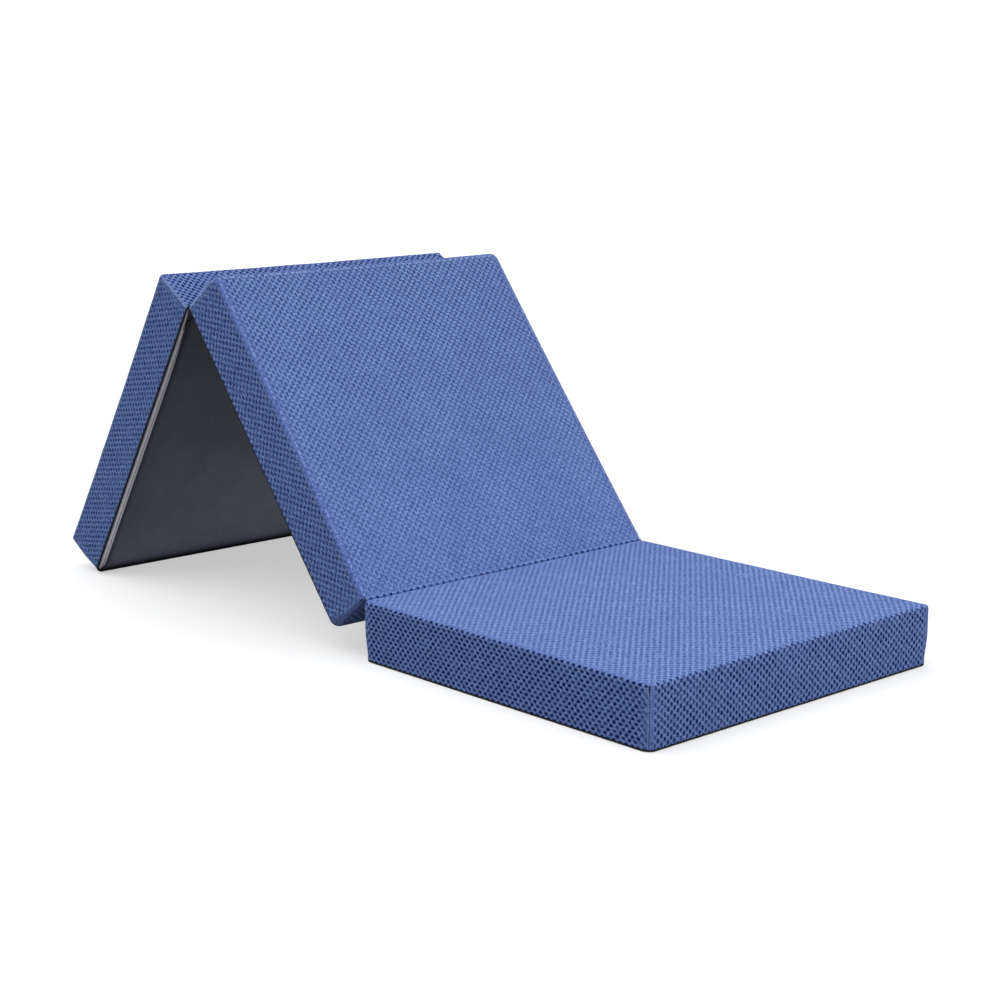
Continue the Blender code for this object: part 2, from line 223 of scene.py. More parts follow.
floor_mesh = bpy.data.meshes.new("floor")
corners = FLOOR_HALF * np.array(((-1, -1, 0), (1, -1, 0), (1, 1, 0), (-1, 1, 0)), float)
corners[:, 2] = -FLOOR_DROP
floor_mesh.from_pydata(corners.tolist(), [], [(0, 1, 2, 3)])
floor = bpy.data.objects.new("floor", floor_mesh)
scene.collection.objects.link(floor)
floor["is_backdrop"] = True
finish, tree, shader = new_material("pale_floor")
tree.links.new(for_camera(tree, FLOOR_WHITE, FLOOR_BOUNCE), shader.inputs["Base Color"])
tree.links.new(for_camera(tree, FLOOR_LIFT, 0.0), shader.inputs["Emission Strength"])
shader.inputs["Emission Color"].default_value = (1, 1, 1, 1)
shader.inputs["Roughness"].default_value = 0.9
floor_mesh.materials.append(finish)
print("stage ready")

# %% [markdown]
# New pieces are arrays of points and triangles. One helper turns such arrays into an object,
# and another checks them first: in a closed mesh each edge is walked once each way, and a
# positive volume says that the faces point outwards.

# %% Turn arrays into pieces


def check_closed(points, triangles):
    """The volume inside the triangles, or an error if an edge isn't walked once each way."""
    ends = np.concatenate([triangles[:, [0, 1]], triangles[:, [1, 2]], triangles[:, [2, 0]]])
    size = len(points)
    there, back = ends[:, 0] * size + ends[:, 1], ends[:, 1] * size + ends[:, 0]
    if len(np.unique(there)) != len(there) or not np.array_equal(np.sort(there), np.sort(back)):
        raise ValueError("the mesh isn't closed")
    a, b, c = (points[triangles[:, k]] for k in range(3))
    return float((a * np.cross(b, c)).sum() / 6)


def make_piece(name, points, triangles, finish, cloth=None, values=None, smooth=True):
    """An object from arrays, with a UV map named cloth and values that its material reads."""
    volume = check_closed(points, triangles)
    if volume < 0:
        triangles = triangles[:, ::-1]
    mesh = bpy.data.meshes.new(name)
    mesh.vertices.add(len(points))
    mesh.vertices.foreach_set("co", points.astype(np.float32).ravel())
    mesh.loops.add(triangles.size)
    mesh.loops.foreach_set("vertex_index", triangles.astype(np.int32).ravel())
    mesh.polygons.add(len(triangles))
    mesh.polygons.foreach_set("loop_start", np.arange(0, triangles.size, 3, dtype=np.int32))
    mesh.update(calc_edges=True)
    if cloth is not None:
        layer = mesh.uv_layers.new(name="cloth")
        layer.data.foreach_set("uv", cloth[triangles.ravel()].astype(np.float32).ravel())
    for key, value in (values or {}).items():
        attribute = mesh.attributes.new(key, "FLOAT", "POINT")
        attribute.data.foreach_set("value", np.asarray(value, np.float32))
    if smooth:
        mesh.shade_smooth()
    mesh.materials.append(finish)
    piece = bpy.data.objects.new(name, mesh)
    scene.collection.objects.link(piece)
    print(f"{name}: {len(triangles)} triangles, {abs(volume) * 1e6:.1f} cm3")
    return piece


def smoothstep(low, high, value):
    """0 below low, 1 above high, and an S-shaped run between them."""
    share = np.clip((value - low) / (high - low), 0, 1)
    return share * share * (3 - 2 * share)


# %% [markdown]
# The cover is knitted spacer mesh: two faces held 3 mm apart by upright threads, with
# staggered oval holes in the face. It is cut as a cross, folded down over the foam and sewn
# up the four corners, so the hole pattern runs from the top over each long edge unbroken.
#
# A box with a bump map could stand for it, but its outline would be straight and its corners
# would have no seams. Here the cloth is laid out flat as a cross of grid lines that pass
# through the middle of every hole. One formula then wraps each point round the foam, and the
# holes are pressed in as dimples, so the mesh itself holds the pattern.

# %% Wrap flat cloth round a panel
# Distance between holes along and across, with a second set half way between. Each panel's
# cloth was pulled on with a different tension.
HOLE_PITCH = {
    "front": np.array((0.0121, 0.0133)),
    "middle": np.array((0.0128, 0.0141)),
    "rear": np.array((0.0120, 0.0139)),
}
STEPS_A_HOLE = np.array((4, 6))
RIM = 0.0065  # radius of the rounded rim between the blue face and the sides
CORNER_TOP, CORNER_FOOT, CORNER_SEWN = 0.0065, 0.016, 0.0055
ROUNDER_BELOW = 0.45  # how far down a side its corners start to grow rounder, as a share
SEWN_END = {"front": 0, "middle": -1, "rear": 1}  # the end at the fold between two undersides
PUFF = 0.008  # how much rounder the middle panel's corners are pushed out at its sewn end
PUFF_DROP = 0.02  # how far below the rim that ends
DRAW_IN = 0.002  # how far the sides are pulled in half way between two corners
WALL = 0.003
HEM_LOW = 0.0036  # the cover's bottom edge, above the plane of the underside


def corner_radii(panel, inset):
    """The corner radii at a panel's foot, at its low and its high end, less an inset."""
    return [
        (CORNER_SEWN if SEWN_END[panel.name] == end else CORNER_FOOT) - inset for end in (-1, 1)
    ]


class Form:
    """The sizes that the cloth is wrapped round, inset by some distance from the cover."""

    def __init__(self, panel, inset=0.0, low=HEM_LOW):
        self.half = np.array((panel.half_length, panel.half_width)) - inset
        self.outer = np.array((panel.half_length, panel.half_width))
        self.top = panel.top - inset
        self.low = low
        self.rim = RIM - inset
        self.corner_top = CORNER_TOP - inset
        self.foot_low, self.foot_high = corner_radii(panel, inset)
        self.puff = PUFF if panel.name == "middle" else 0.0
        self.edge = self.half - self.rim + self.rim * math.pi / 4
        self.end = self.half - self.rim + self.rim * math.pi / 2 + self.top - self.rim - low


def wrap(cloth, form):
    """Carry flat cloth points to the panel, and give the direction that each one faces.

    How far a point lies past the start of the rounded rim is the larger of its two
    overruns. That length is walked round the rim's quarter circle and then straight down.
    Within a corner the point is swung onto the circle about the corner's centre, at the
    angle of its two overruns, where no overrun counts for more than the cut edge's own.
    """
    size = np.abs(cloth)
    run = (size - (form.half - form.rim)).max(1)
    turn = np.clip(run / form.rim, 0, math.pi / 2)
    down = np.maximum(run - form.rim * math.pi / 2, 0)
    height = form.top - form.rim * (1 - np.cos(turn)) - down
    foot = np.where(cloth[:, 0] < 0, form.foot_low, form.foot_high)
    drop = form.top - form.rim - form.low
    rounder = smoothstep(ROUNDER_BELOW * drop, drop, down)
    corner = form.corner_top + (foot - form.corner_top) * rounder
    corner += np.where(cloth[:, 0] < 0, form.puff, 0) * (1 - smoothstep(0, PUFF_DROP, down))
    reach = np.where(run < 0, run, form.rim * np.sin(turn)) + corner - form.rim
    start = form.half - corner[:, None]
    most = corner - form.rim + form.rim * math.pi / 4
    past = np.minimum(np.maximum(size - start, 0), most[:, None])
    length = np.hypot(past[:, 0], past[:, 1])
    heading = past / np.maximum(length, 1e-9)[:, None]
    plan = np.where(
        (length > 0)[:, None], np.minimum(size, start) + reach[:, None] * heading, size
    )
    sign = np.sign(cloth)
    facing = np.column_stack((sign * heading * np.sin(turn)[:, None], np.cos(turn)))
    return np.column_stack((sign * plan, height)), facing


def swell(points, form):
    """Raise the top at its middle and draw the sides in between the corners, as full foam does."""
    along, across = (points[:, :2] / form.outer).T
    rise = (points[:, 2] - form.low) / (form.top - form.low)
    lift = CROWN * (1 - along**2) * (1 - across**2) * rise
    pull = DRAW_IN * points[:, 2] / form.top
    return points + np.column_stack(
        (-pull * along * (1 - across**2), -pull * across * (1 - along**2), lift)
    )


for panel in PANELS:
    print(panel.name, "cloth reaches", Form(panel).end.round(4), "from its middle to its hem")

# %% [markdown]
# The grid is five patches: the top and four flaps that share its edges. The diagonal of each
# square is turned so that it ends in a hole's middle, or the dimples would all lean one way.
# Where two flaps meet at a corner their rows don't match, so a strip is sewn between them
# like a zip: each step down one side makes a triangle with the nearest point of the other.

# %% Grid lines, patches and seams of the cross
HEM_ROW = 0.0012  # width of the last row of squares at the bottom edge
LAST_EVEN = 1.5  # the even lines stop this many widths before the close ones


def cloth_lines(form, axis, step, close):
    """Lines across the top along one axis: even steps from the middle, then close to the rim."""
    edge = form.edge[axis]
    count = int((edge - LAST_EVEN * close[0]) / step)
    rim_lines = edge - np.array(close)
    return np.concatenate((-rim_lines[::-1], step * np.arange(-count, count + 1), rim_lines))


def flap_lines(form, axis, step, first, hem):
    """Rows down a flap: the same even steps carried on, then the hem."""
    edge, end = form.edge[axis], form.end[axis]
    every = step * np.arange(int(end / step) + 1)
    inside = every[(every > edge + first) & (every < end - LAST_EVEN * hem)]
    return np.concatenate((inside, (end - hem, end)))


def grid_triangles(index, weight):
    """Two triangles for each square, split along the diagonal whose ends weigh more."""
    a, b, c, d = index[:-1, :-1], index[1:, :-1], index[1:, 1:], index[:-1, 1:]
    a, b, c, d = (corner.ravel() for corner in (a, b, c, d))
    first = (weight[a] + weight[c] >= weight[b] + weight[d])[:, None]
    one = np.where(first, np.column_stack((a, b, c)), np.column_stack((a, b, d)))
    two = np.where(first, np.column_stack((a, c, d)), np.column_stack((b, c, d)))
    return np.concatenate((one, two))


def sew(left, left_at, right, right_at):
    """Triangles between two runs of points, each step joined to the nearest point across."""
    left_step = (left_at[1:] + left_at[:-1]) / 2
    right_step = (right_at[1:] + right_at[:-1]) / 2
    beside_left = np.searchsorted(right_step, left_step)
    beside_right = np.searchsorted(left_step, right_step, side="right")
    strip = np.concatenate(
        (
            np.column_stack((left[:-1], left[1:], right[beside_left])),
            np.column_stack((left[beside_right], right[1:], right[:-1])),
        )
    )
    whole = (
        (strip[:, 0] != strip[:, 1]) & (strip[:, 1] != strip[:, 2]) & (strip[:, 0] != strip[:, 2])
    )
    return strip[whole]


def cross_of_cloth(form, steps, close, seam_half):
    """Cloth points of the cross, and its patches, corner runs and bottom edge as indices.

    The flaps stop short of each corner by half the seam's width, and share the top's corner.
    """
    lines = [cloth_lines(form, axis, steps[axis], close) for axis in (0, 1)]
    rows = [flap_lines(form, axis, steps[axis], steps[axis] / 2, HEM_ROW) for axis in (0, 1)]
    narrow = [line.copy() for line in lines]
    for line in narrow:
        line[0] += seam_half
        line[-1] -= seam_half
    top = np.arange(len(lines[0]) * len(lines[1])).reshape(len(lines[0]), len(lines[1]))
    cloth = [np.stack(np.meshgrid(*lines, indexing="ij"), -1).reshape(-1, 2)]
    count = top.size
    flaps = []
    for axis, side in ((1, -1), (0, 1), (1, 1), (0, -1)):
        spans = [narrow[0], side * rows[1]] if axis == 1 else [side * rows[0], narrow[1]]
        shape = len(spans[0]), len(spans[1])
        cloth.append(np.stack(np.meshgrid(*spans, indexing="ij"), -1).reshape(-1, 2))
        fresh = np.arange(count, count + shape[0] * shape[1]).reshape(shape)
        count += fresh.size
        shared = np.take(top, [0 if side < 0 else -1], axis=axis)
        if side < 0:
            flaps.append(np.concatenate((np.flip(fresh, axis), shared), axis))
        else:
            flaps.append(np.concatenate((shared, fresh), axis))
    near, high, far, low = flaps
    runs = [
        (near[-1, ::-1], high[:, 0]),
        (high[:, -1], far[-1, :]),
        (far[0, :], low[::-1, -1]),
        (low[::-1, 0], near[0, ::-1]),
    ]
    ring = np.concatenate((near[:, 0], high[-1, :], far[::-1, -1], low[0, ::-1]))
    return np.concatenate(cloth), [top, near, high, far, low], runs, ring


print("cloth grid steps", {name: pitch / STEPS_A_HOLE for name, pitch in HOLE_PITCH.items()})

# %% [markdown]
# Two skins make the cover a real wall: the outer one carries the dimples, and the inner one
# is coarse because nobody sees it. They join in a flat hem at the bottom.

# %% Skins of a cover
SEAM_HALF = 0.0007


def no_holes(cloth):
    """The weight of each point where the cloth has no holes."""
    return np.zeros(len(cloth))


def hole_centres(cells):
    """1 in the middle of a hole and 0 a grid step away, for both sets of holes."""
    found = np.zeros(len(cells))
    for shift in (0.0, 0.5):
        moved = cells + shift
        away = (moved - np.round(moved)) * STEPS_A_HOLE
        found = np.maximum(found, 1 - (away**2).sum(1))
    return np.clip(found, 0, 1)


def closed_ring(points, ring):
    """A ring's indices with the first one repeated, and how far round each point lies."""
    closed = np.append(ring, ring[0])
    steps = np.linalg.norm(np.diff(points[closed], axis=0), axis=1)
    return closed, np.concatenate(((0.0,), np.cumsum(steps))) / steps.sum()


def skin(form, steps, close, seam_half, weigh):
    """One skin of the cover: cloth points, wrapped points, facings, triangles, bottom ring."""
    cloth, patches, runs, ring = cross_of_cloth(form, steps, close, seam_half)
    points, facing = wrap(cloth, form)
    weight = weigh(cloth)
    triangles = [grid_triangles(patch, weight) for patch in patches]
    for left, right in runs:
        triangles.append(sew(left, -points[left, 2], right, -points[right, 2]))
    return cloth, points, facing, np.concatenate(triangles), ring


along_a_row = np.column_stack((np.arange(0, 1.01, 0.25), np.zeros(5)))
print("weights along a row of holes:", hole_centres(along_a_row))

# %% How open the holes are, and where the seams lie
# How open a hole is sets its dimple and also how much painted shade fills it, so the holes of the
# shaded sides are set more open than those of the lit top.
TOP_OPEN = {"front": 0.62, "middle": 0.76, "rear": 0.55}
TOP_FADE = {"front": 0.0, "middle": 0.35, "rear": 0.0}  # less open towards the end not sewn
FADE_SPAN = (-0.25, 0.28)  # from where to where along the panel, seen from its sewn end
DRAWN = {"front": 0.0, "middle": 1.0, "rear": 0.0}  # the middle panel's top is drawn tightest
SIDE_OPEN = {"front": 1.15, "middle": 0.80, "rear": 0.74}
END_OPEN = {"front": 1.05, "middle": 0.9, "rear": 1.15}
RIM_OPEN = (0.2, 0.5)  # on the rim of a long side, and of an end
RIM_BAND = {"front": 0.0, "middle": 0.007, "rear": 0.001}
RIM_START, RIM_FULL, SIDE_START = -0.004, 0.002, 0.0065  # lengths past the start of the rounding
SEAM_CLEAR, DART_CLEAR, CLEAR_SOFT = 0.0025, 0.0105, 0.002  # no holes so close to a seam
LEAN_BESIDE, LEAN_BELOW = (0.004, 0.024), (0.004, 0.02)  # where holes lean by a corner seam
LEAN_CLOSES, LEAN_TILT = 0.5, 0.7  # how much a leaning hole is closed, and how far it leans
TRIM_BAND = 0.012
NO_SEAM = 0.03  # stands for a seam so far off that the material shows none


def flap_places(cloth, form):
    """Which points lie on a flap, which on an end flap, and how far each is from its seam."""
    past = np.abs(cloth) > form.edge - SEAM_HALF / 2
    return past.any(1), past[:, 0], (form.edge - np.abs(cloth)).max(1)


def openness(panel, cloth, form):
    """What the cover's material reads: first of all how open the holes are, which sets both their
    dimples and the painted shade in them.

    They are most open on the sides, less on top, half hidden on rims and gone at seams. The
    middle panel is creased over its long rims, which hides the holes in a wider band, and
    its rims are top-stitched. Corner seams carry light stitches where the panel is sewn to
    the next one, and are drawn into a dart elsewhere, with a smooth band beside it. The rounded
    rims of the long sides and that smooth band are marked for a painted highlight.
    """
    overrun = np.abs(cloth) - (form.half - form.rim)
    run = overrun.max(1)
    on_side = overrun[:, 1] > overrun[:, 0]
    on_flap, end_flap, to_seam = flap_places(cloth, form)
    sewn = np.sign(cloth[:, 0]) == SEWN_END[panel.name]
    dart = end_flap & ~sewn

    band = np.where(on_side, RIM_BAND[panel.name], 0)
    from_sewn = -cloth[:, 0] * SEWN_END[panel.name]
    top = TOP_OPEN[panel.name] * (1 - TOP_FADE[panel.name] * smoothstep(*FADE_SPAN, from_sewn))
    rim = smoothstep(RIM_START - band, RIM_FULL - band, run)
    side = smoothstep(RIM_FULL, SIDE_START + band, run)
    wide = np.where(on_side, SIDE_OPEN[panel.name], END_OPEN[panel.name])
    share = top * (1 - rim) + np.where(on_side, *RIM_OPEN) * rim * (1 - side) + wide * side

    clear = np.where(dart, DART_CLEAR, SEAM_CLEAR)
    closed = 1 - smoothstep(clear - CLEAR_SOFT, clear + CLEAR_SOFT, to_seam)
    lean = (1 - smoothstep(*LEAN_BESIDE, to_seam)) * smoothstep(*LEAN_BELOW, run)
    lean = np.where(on_flap & ~end_flap, lean, 0)
    share = share * (1 - np.where(on_flap, closed, 0)) * (1 - LEAN_CLOSES * lean)
    smooth_band = np.where(dart, closed * smoothstep(0, 0.004, run), 0)
    stitched = (np.abs(run + 0.001) < TRIM_BAND) & (on_side | sewn)
    return {
        "openness": share,
        "seam": np.where(on_flap, to_seam, NO_SEAM),
        "down": run,
        "tilt": -LEAN_TILT * lean * np.sign(cloth[:, 0] * cloth[:, 1]),
        # Where a painted highlight goes: the rounded rims of the long sides, and the smooth band beside
        # a dart.
        "rim": np.maximum(np.where(on_side, rim * (1 - side), 0), 0.8 * smooth_band),
        "sewn": sewn,
        "trim": stitched & (panel.name == "middle"),
        "drawn": DRAWN[panel.name] * (1 - rim),
    }


centre = np.zeros((1, 2))
for panel in PANELS:
    print(panel.name, "holes open by", openness(panel, centre, Form(panel))["openness"][0])

# %% Build the covers' points
RIM_LINES, INNER_LINES = (0.0036, 0.0019, 0.0), (0.0036, 0.0)  # last grid lines, from the edge
INNER_GRID = np.array((0.05, 0.05))
DIMPLE, UNEVEN = 0.0020, 0.0004
GROOVE = 0.0012  # depth of a corner seam
GROOVE_SPAN = (0.0006, 0.0021)  # distances from the seam between which the groove runs out
HEM_FADE = 0.004  # height over which waves and grooves grow from nothing at the hem


def cover_arrays(panel):
    """Both skins of a cover and the hem between them, with what its material reads.

    Each point of the outer skin sinks against its facing by the sum of three things: slow
    waves of the cloth, its share of a dimple, and its share of the groove at a corner seam.
    """
    outer, inner = Form(panel), Form(panel, WALL)
    pitch = HOLE_PITCH[panel.name]
    cloth, points, facing, triangles, ring = skin(
        outer, pitch / STEPS_A_HOLE, RIM_LINES, SEAM_HALF, lambda flat: hole_centres(flat / pitch)
    )
    values = openness(panel, cloth, outer)
    on_flap, _, to_seam = flap_places(cloth, outer)
    above_hem = smoothstep(outer.low, outer.low + HEM_FADE, points[:, 2])
    # A number that multiplies a place is in radians a metre, so 61 makes 10 cm waves.
    wave = np.sin(cloth[:, 0] * 61 + 1.3) * np.sin(cloth[:, 1] * 47 + 0.4)
    wave += 0.6 * np.sin(cloth[:, 0] * 23 - cloth[:, 1] * 31 + 2.1)
    sink = UNEVEN * (0.6 + 0.375 * wave) * above_hem
    sink += DIMPLE * hole_centres(cloth / pitch) * np.minimum(values["openness"], 1)
    sink += np.where(on_flap, GROOVE * (1 - smoothstep(*GROOVE_SPAN, to_seam)), 0) * above_hem
    points = swell(points - facing * sink[:, None], outer)

    _, inside, _, inner_triangles, inner_ring = skin(
        inner, INNER_GRID, INNER_LINES, SEAM_HALF, no_holes
    )
    start = len(points)
    every = np.concatenate((points, swell(inside, inner)))
    hem = sew(*closed_ring(every, inner_ring + start), *closed_ring(points, ring))
    faces = np.concatenate((triangles, inner_triangles[:, ::-1] + start, hem))
    flat = np.concatenate((cloth / pitch, np.zeros((len(inside), 2))))
    for key, value in values.items():
        unseen = NO_SEAM if key == "seam" else 0.0
        values[key] = np.concatenate((value, np.full(len(inside), unseen)))
    return panel.to_world(every), faces, flat, values


# %% [markdown]
# Colour is where cloth is won or lost. sRGB numbers are what the eye and a picture use, and
# shaders want linear ones, so a helper turns one into the other. The nodes that come back in
# every finish get helpers too, so that each finish is left with what is its own.

# %% Colours and shader nodes


def linear(red, green, blue):
    """An sRGB colour from 0 to 255 as a linear one, with its alpha."""
    return tuple(
        c / 12.92 if c <= 0.04045 else ((c + 0.055) / 1.055) ** 2.4
        for c in (red / 255, green / 255, blue / 255)
    ) + (1.0,)


def maths(tree, operation, *values, clamp=False):
    """A Math node's result."""
    return add_node(
        tree, "ShaderNodeMath", enumerate(values), operation=operation, use_clamp=clamp
    ).outputs[0]


def times(tree, first, second, clamp=False):
    """Two values multiplied."""
    return maths(tree, "MULTIPLY", first, second, clamp=clamp)


def vectors(tree, operation, *values, output="Vector"):
    """A Vector Math node's result."""
    made = add_node(tree, "ShaderNodeVectorMath", enumerate(values), operation=operation)
    return made.outputs[output]


def noise(tree, vector, scale, detail, roughness=0.5):
    """The outputs of a noise texture."""
    inputs = (("Vector", vector), ("Scale", scale), ("Detail", detail), ("Roughness", roughness))
    return add_node(tree, "ShaderNodeTexNoise", inputs).outputs


def paint(tree, colour, *coats):
    """A colour with coats laid over it in turn, each given as its share and its colour."""
    for share, over in coats:
        inputs = ((0, share), (6, colour), (7, over))
        colour = add_node(tree, "ShaderNodeMix", inputs, data_type="RGBA").outputs[2]
    return colour


def object_place(tree):
    """Where a point lies on the object, in metres."""
    return add_node(tree, "ShaderNodeTexCoord").outputs["Object"]


def cloth_place(tree):
    """Where a point lies on the flat cloth, from the piece's own UV map."""
    return add_node(tree, "ShaderNodeUVMap", uv_map="cloth").outputs["UV"]


def attribute(tree, name):
    """A value that the piece carries at each point."""
    return add_node(tree, "ShaderNodeAttribute", attribute_name=name).outputs["Fac"]


def bump(tree, height, distance, strength):
    """The normal of a surface that stands out by a height."""
    inputs = (("Height", height), ("Distance", distance), ("Strength", strength))
    return add_node(tree, "ShaderNodeBump", inputs).outputs["Normal"]


def wire_up(tree, shader, colour, roughness, normal):
    """Give a finish its colour, roughness and normal."""
    for label, value in (("Base Color", colour), ("Roughness", roughness), ("Normal", normal)):
        tree.links.new(value, shader.inputs[label])


print("white in a shader's own numbers:", linear(255, 255, 255))

# %% [markdown]
# The hole pattern is a group of nodes with named sockets, because the cover's colour and its
# bump both need the same holes. The mottle of cloth, foam and paint, and the threads of
# twill, are groups as well, and each finish places them with its own values.

# %% The shader group for the holes
HALF_SLACK, HALF_TIGHT = (0.305, 0.19), (0.36, 0.13)  # half a hole's size, in parts of a pitch
SQUARENESS = 2.6  # 2 would make a hole an oval, and more makes it squarer
STRAY = (0.23, 0.18, 0.0)  # how far the lattice strays, in parts of a pitch
KNIT_ROWS, KNIT_LOOPS = 10, 7  # threads of the knit to a pitch


def new_group(name, inputs, outputs):
    """A shader group with named sockets. Inputs are (name, kind, default), outputs are floats."""
    tree = bpy.data.node_groups.new(name, "ShaderNodeTree")
    for label, kind, default in inputs:
        socket = tree.interface.new_socket(label, in_out="INPUT", socket_type=f"NodeSocket{kind}")
        if default is not None:
            socket.default_value = default
    for label in outputs:
        tree.interface.new_socket(label, in_out="OUTPUT", socket_type="NodeSocketFloat")
    return tree, tree.nodes.new("NodeGroupInput").outputs, tree.nodes.new("NodeGroupOutput").inputs


def use_group(tree, group, inputs):
    """The outputs of a shader group, placed among the nodes of a material."""
    return add_node(tree, "ShaderNodeGroup", inputs, node_tree=group).outputs


def build_hole_group():
    """Rounded holes on a staggered lattice, with the knit's fine rows between them.

    A point's distances from a hole's middle are divided by the hole's half sizes, raised to
    a power and added up, and the hole is where that sum is small. Noise shakes the lattice
    and frays the holes. The cloth between two holes, where two cosines meet with unlike
    signs, gets a mask for a painted highlight.
    """
    tree, given, gives = new_group(
        "mesh_holes",
        (("Cloth", "Vector", None), ("Openness", "Float", 1.0), ("Tilt", "Float", 0.0),
         ("Drawn", "Float", 0.0)),
        ("Hole", "Height", "Rows", "Highlight", "Fuzz"),
    )
    fuzz = noise(tree, given["Cloth"], 3.0, 3.0, 0.65)["Fac"]
    ragged = maths(tree, "MULTIPLY_ADD", fuzz, 1.9, -0.95)
    shake = noise(tree, given["Cloth"], 0.9, 1.0)["Color"]
    shake = vectors(tree, "SUBTRACT", shake, (0.5, 0.5, 0.5))
    shake = vectors(tree, "MULTIPLY", shake, STRAY)
    shake = vectors(tree, "MULTIPLY", shake, ramp(tree, given["Drawn"], 0, 1, 1.0, 0.4))
    warped = vectors(tree, "ADD", shake, given["Cloth"])
    half_sizes = [
        ramp(tree, given["Drawn"], 0, 1, slack, tight)
        for slack, tight in zip(HALF_SLACK, HALF_TIGHT)
    ]
    holes = None
    for shift in (0.5, 1.0):
        moved = vectors(tree, "ADD", warped, (shift, shift, 0))
        cell = vectors(tree, "FRACTION", moved)
        parts = add_node(tree, "ShaderNodeSeparateXYZ", ((0, cell),)).outputs
        along, across = (maths(tree, "SUBTRACT", parts[k], 0.5) for k in (0, 1))
        across = maths(tree, "MULTIPLY_ADD", given["Tilt"], along, across)
        powers = []
        for offset, half in zip((along, across), half_sizes):
            size = maths(tree, "ABSOLUTE", maths(tree, "DIVIDE", offset, half))
            powers.append(maths(tree, "POWER", size, SQUARENESS))
        away = maths(tree, "ADD", maths(tree, "ADD", *powers), ragged)
        cell = vectors(tree, "FLOOR", moved)
        own = add_node(tree, "ShaderNodeTexWhiteNoise", (("Vector", cell),)).outputs["Value"]
        hole = times(tree, ramp(tree, away, 0.2, 1.5, 1, 0), ramp(tree, own, 0, 1, 0.7, 1))
        holes = hole if holes is None else maths(tree, "MAXIMUM", holes, hole)
    holes = times(tree, holes, given["Openness"], clamp=True)
    parts = add_node(tree, "ShaderNodeSeparateXYZ", ((0, warped),)).outputs
    rows = maths(tree, "SINE", times(tree, parts[1], math.tau * KNIT_ROWS))
    loops = maths(tree, "SINE", times(tree, parts[0], math.tau * KNIT_LOOPS))
    knit = maths(tree, "ADD", rows, times(tree, loops, 0.7))
    knit = ramp(tree, knit, -1.7, 1.7, kind="LINEAR")
    waves = [maths(tree, "COSINE", times(tree, parts[k], math.tau)) for k in (0, 1)]
    bar_highlight = ramp(tree, times(tree, *waves), -0.1, -0.85)
    bar_highlight = times(tree, bar_highlight, given["Openness"], clamp=True)
    height = maths(tree, "SUBTRACT", times(tree, knit, 0.16), holes)
    made = {"Hole": holes, "Height": height, "Rows": knit, "Highlight": bar_highlight, "Fuzz": fuzz}
    for label, value in made.items():
        tree.links.new(value, gives[label])
    return tree


HOLES = build_hole_group()
print("hole group of", len(HOLES.nodes), "nodes")

# %% Shader groups for mottle and twill


def build_mottle_group():
    """Two scales of uneven colour: soft clouds, and fine specks as in yarn or dust."""
    tree, given, gives = new_group(
        "mottle",
        (("Place", "Vector", None), ("Cloud scale", "Float", 9.0), ("Speck scale", "Float", 400.0)),
        ("Cloud", "Speck"),
    )
    for label, detail in (("Cloud", 4.0), ("Speck", 2.0)):
        made = noise(tree, given["Place"], given[f"{label} scale"], detail, 0.6)
        tree.links.new(made["Fac"], gives[label])
    return tree


def build_twill_group():
    """Diagonal threads of a narrow woven cloth, which wander a little from straight."""
    tree, given, gives = new_group(
        "twill_threads",
        (("Cloth", "Vector", None), ("Threads", "Float", 1.0), ("Wander", "Float", 0.8)),
        ("Thread",),
    )
    inputs = (("Vector", given["Cloth"]), ("Scale", given["Threads"]), ("Distortion", given["Wander"]))
    made = add_node(tree, "ShaderNodeTexWave", inputs, bands_direction="DIAGONAL")
    tree.links.new(made.outputs["Fac"], gives["Thread"])
    return tree


MOTTLE = build_mottle_group()
TWILL = build_twill_group()


def mottle(tree, clouds, specks):
    """The clouds and specks of the mottle group on Object coordinates."""
    inputs = (("Place", object_place(tree)), ("Cloud scale", clouds), ("Speck scale", specks))
    made = use_group(tree, MOTTLE, inputs)
    return made["Cloud"], made["Speck"]


def twill(tree, threads, wander=0.8):
    """The thread output of the twill group on the piece's own UV map."""
    inputs = (("Cloth", cloth_place(tree)), ("Threads", threads), ("Wander", wander))
    return use_group(tree, TWILL, inputs)["Thread"]


print("groups:", ", ".join(group.name for group in (HOLES, MOTTLE, TWILL)))

# %% [markdown]
# The mesh is blue yarn of more than one shade. Looked at closely, a hole is a pit in shade,
# the cloth between two holes of a row catches the most light, and fluff greys it here and
# there. That shade in the holes, the light on the cloth between them and a highlight along
# the rounded rims of the long sides are painted into the colour. So the finish starts as yarn
# and lays one coat after another over it, each with its own mask.

# %% The blue mesh
YARN_DARK, YARN_LIGHT = linear(86, 111, 180), linear(146, 177, 243)
BAR_HIGHLIGHT, FUZZ_DARK, ROW_DARK = linear(160, 190, 248), linear(70, 92, 152), linear(70, 94, 158)
CLOUD_BLUE, RIM_HIGHLIGHT_BLUE, HOLE_SHADE = linear(102, 122, 194), linear(94, 112, 196), linear(12, 36, 112)
SLIT_DARK, STITCH_LIGHT = linear(24, 34, 80), linear(184, 200, 246)
STITCH = 0.0042  # length of one stitch
TRIM_LINE = 0.0012  # how far inside the start of the rim the top stitches run


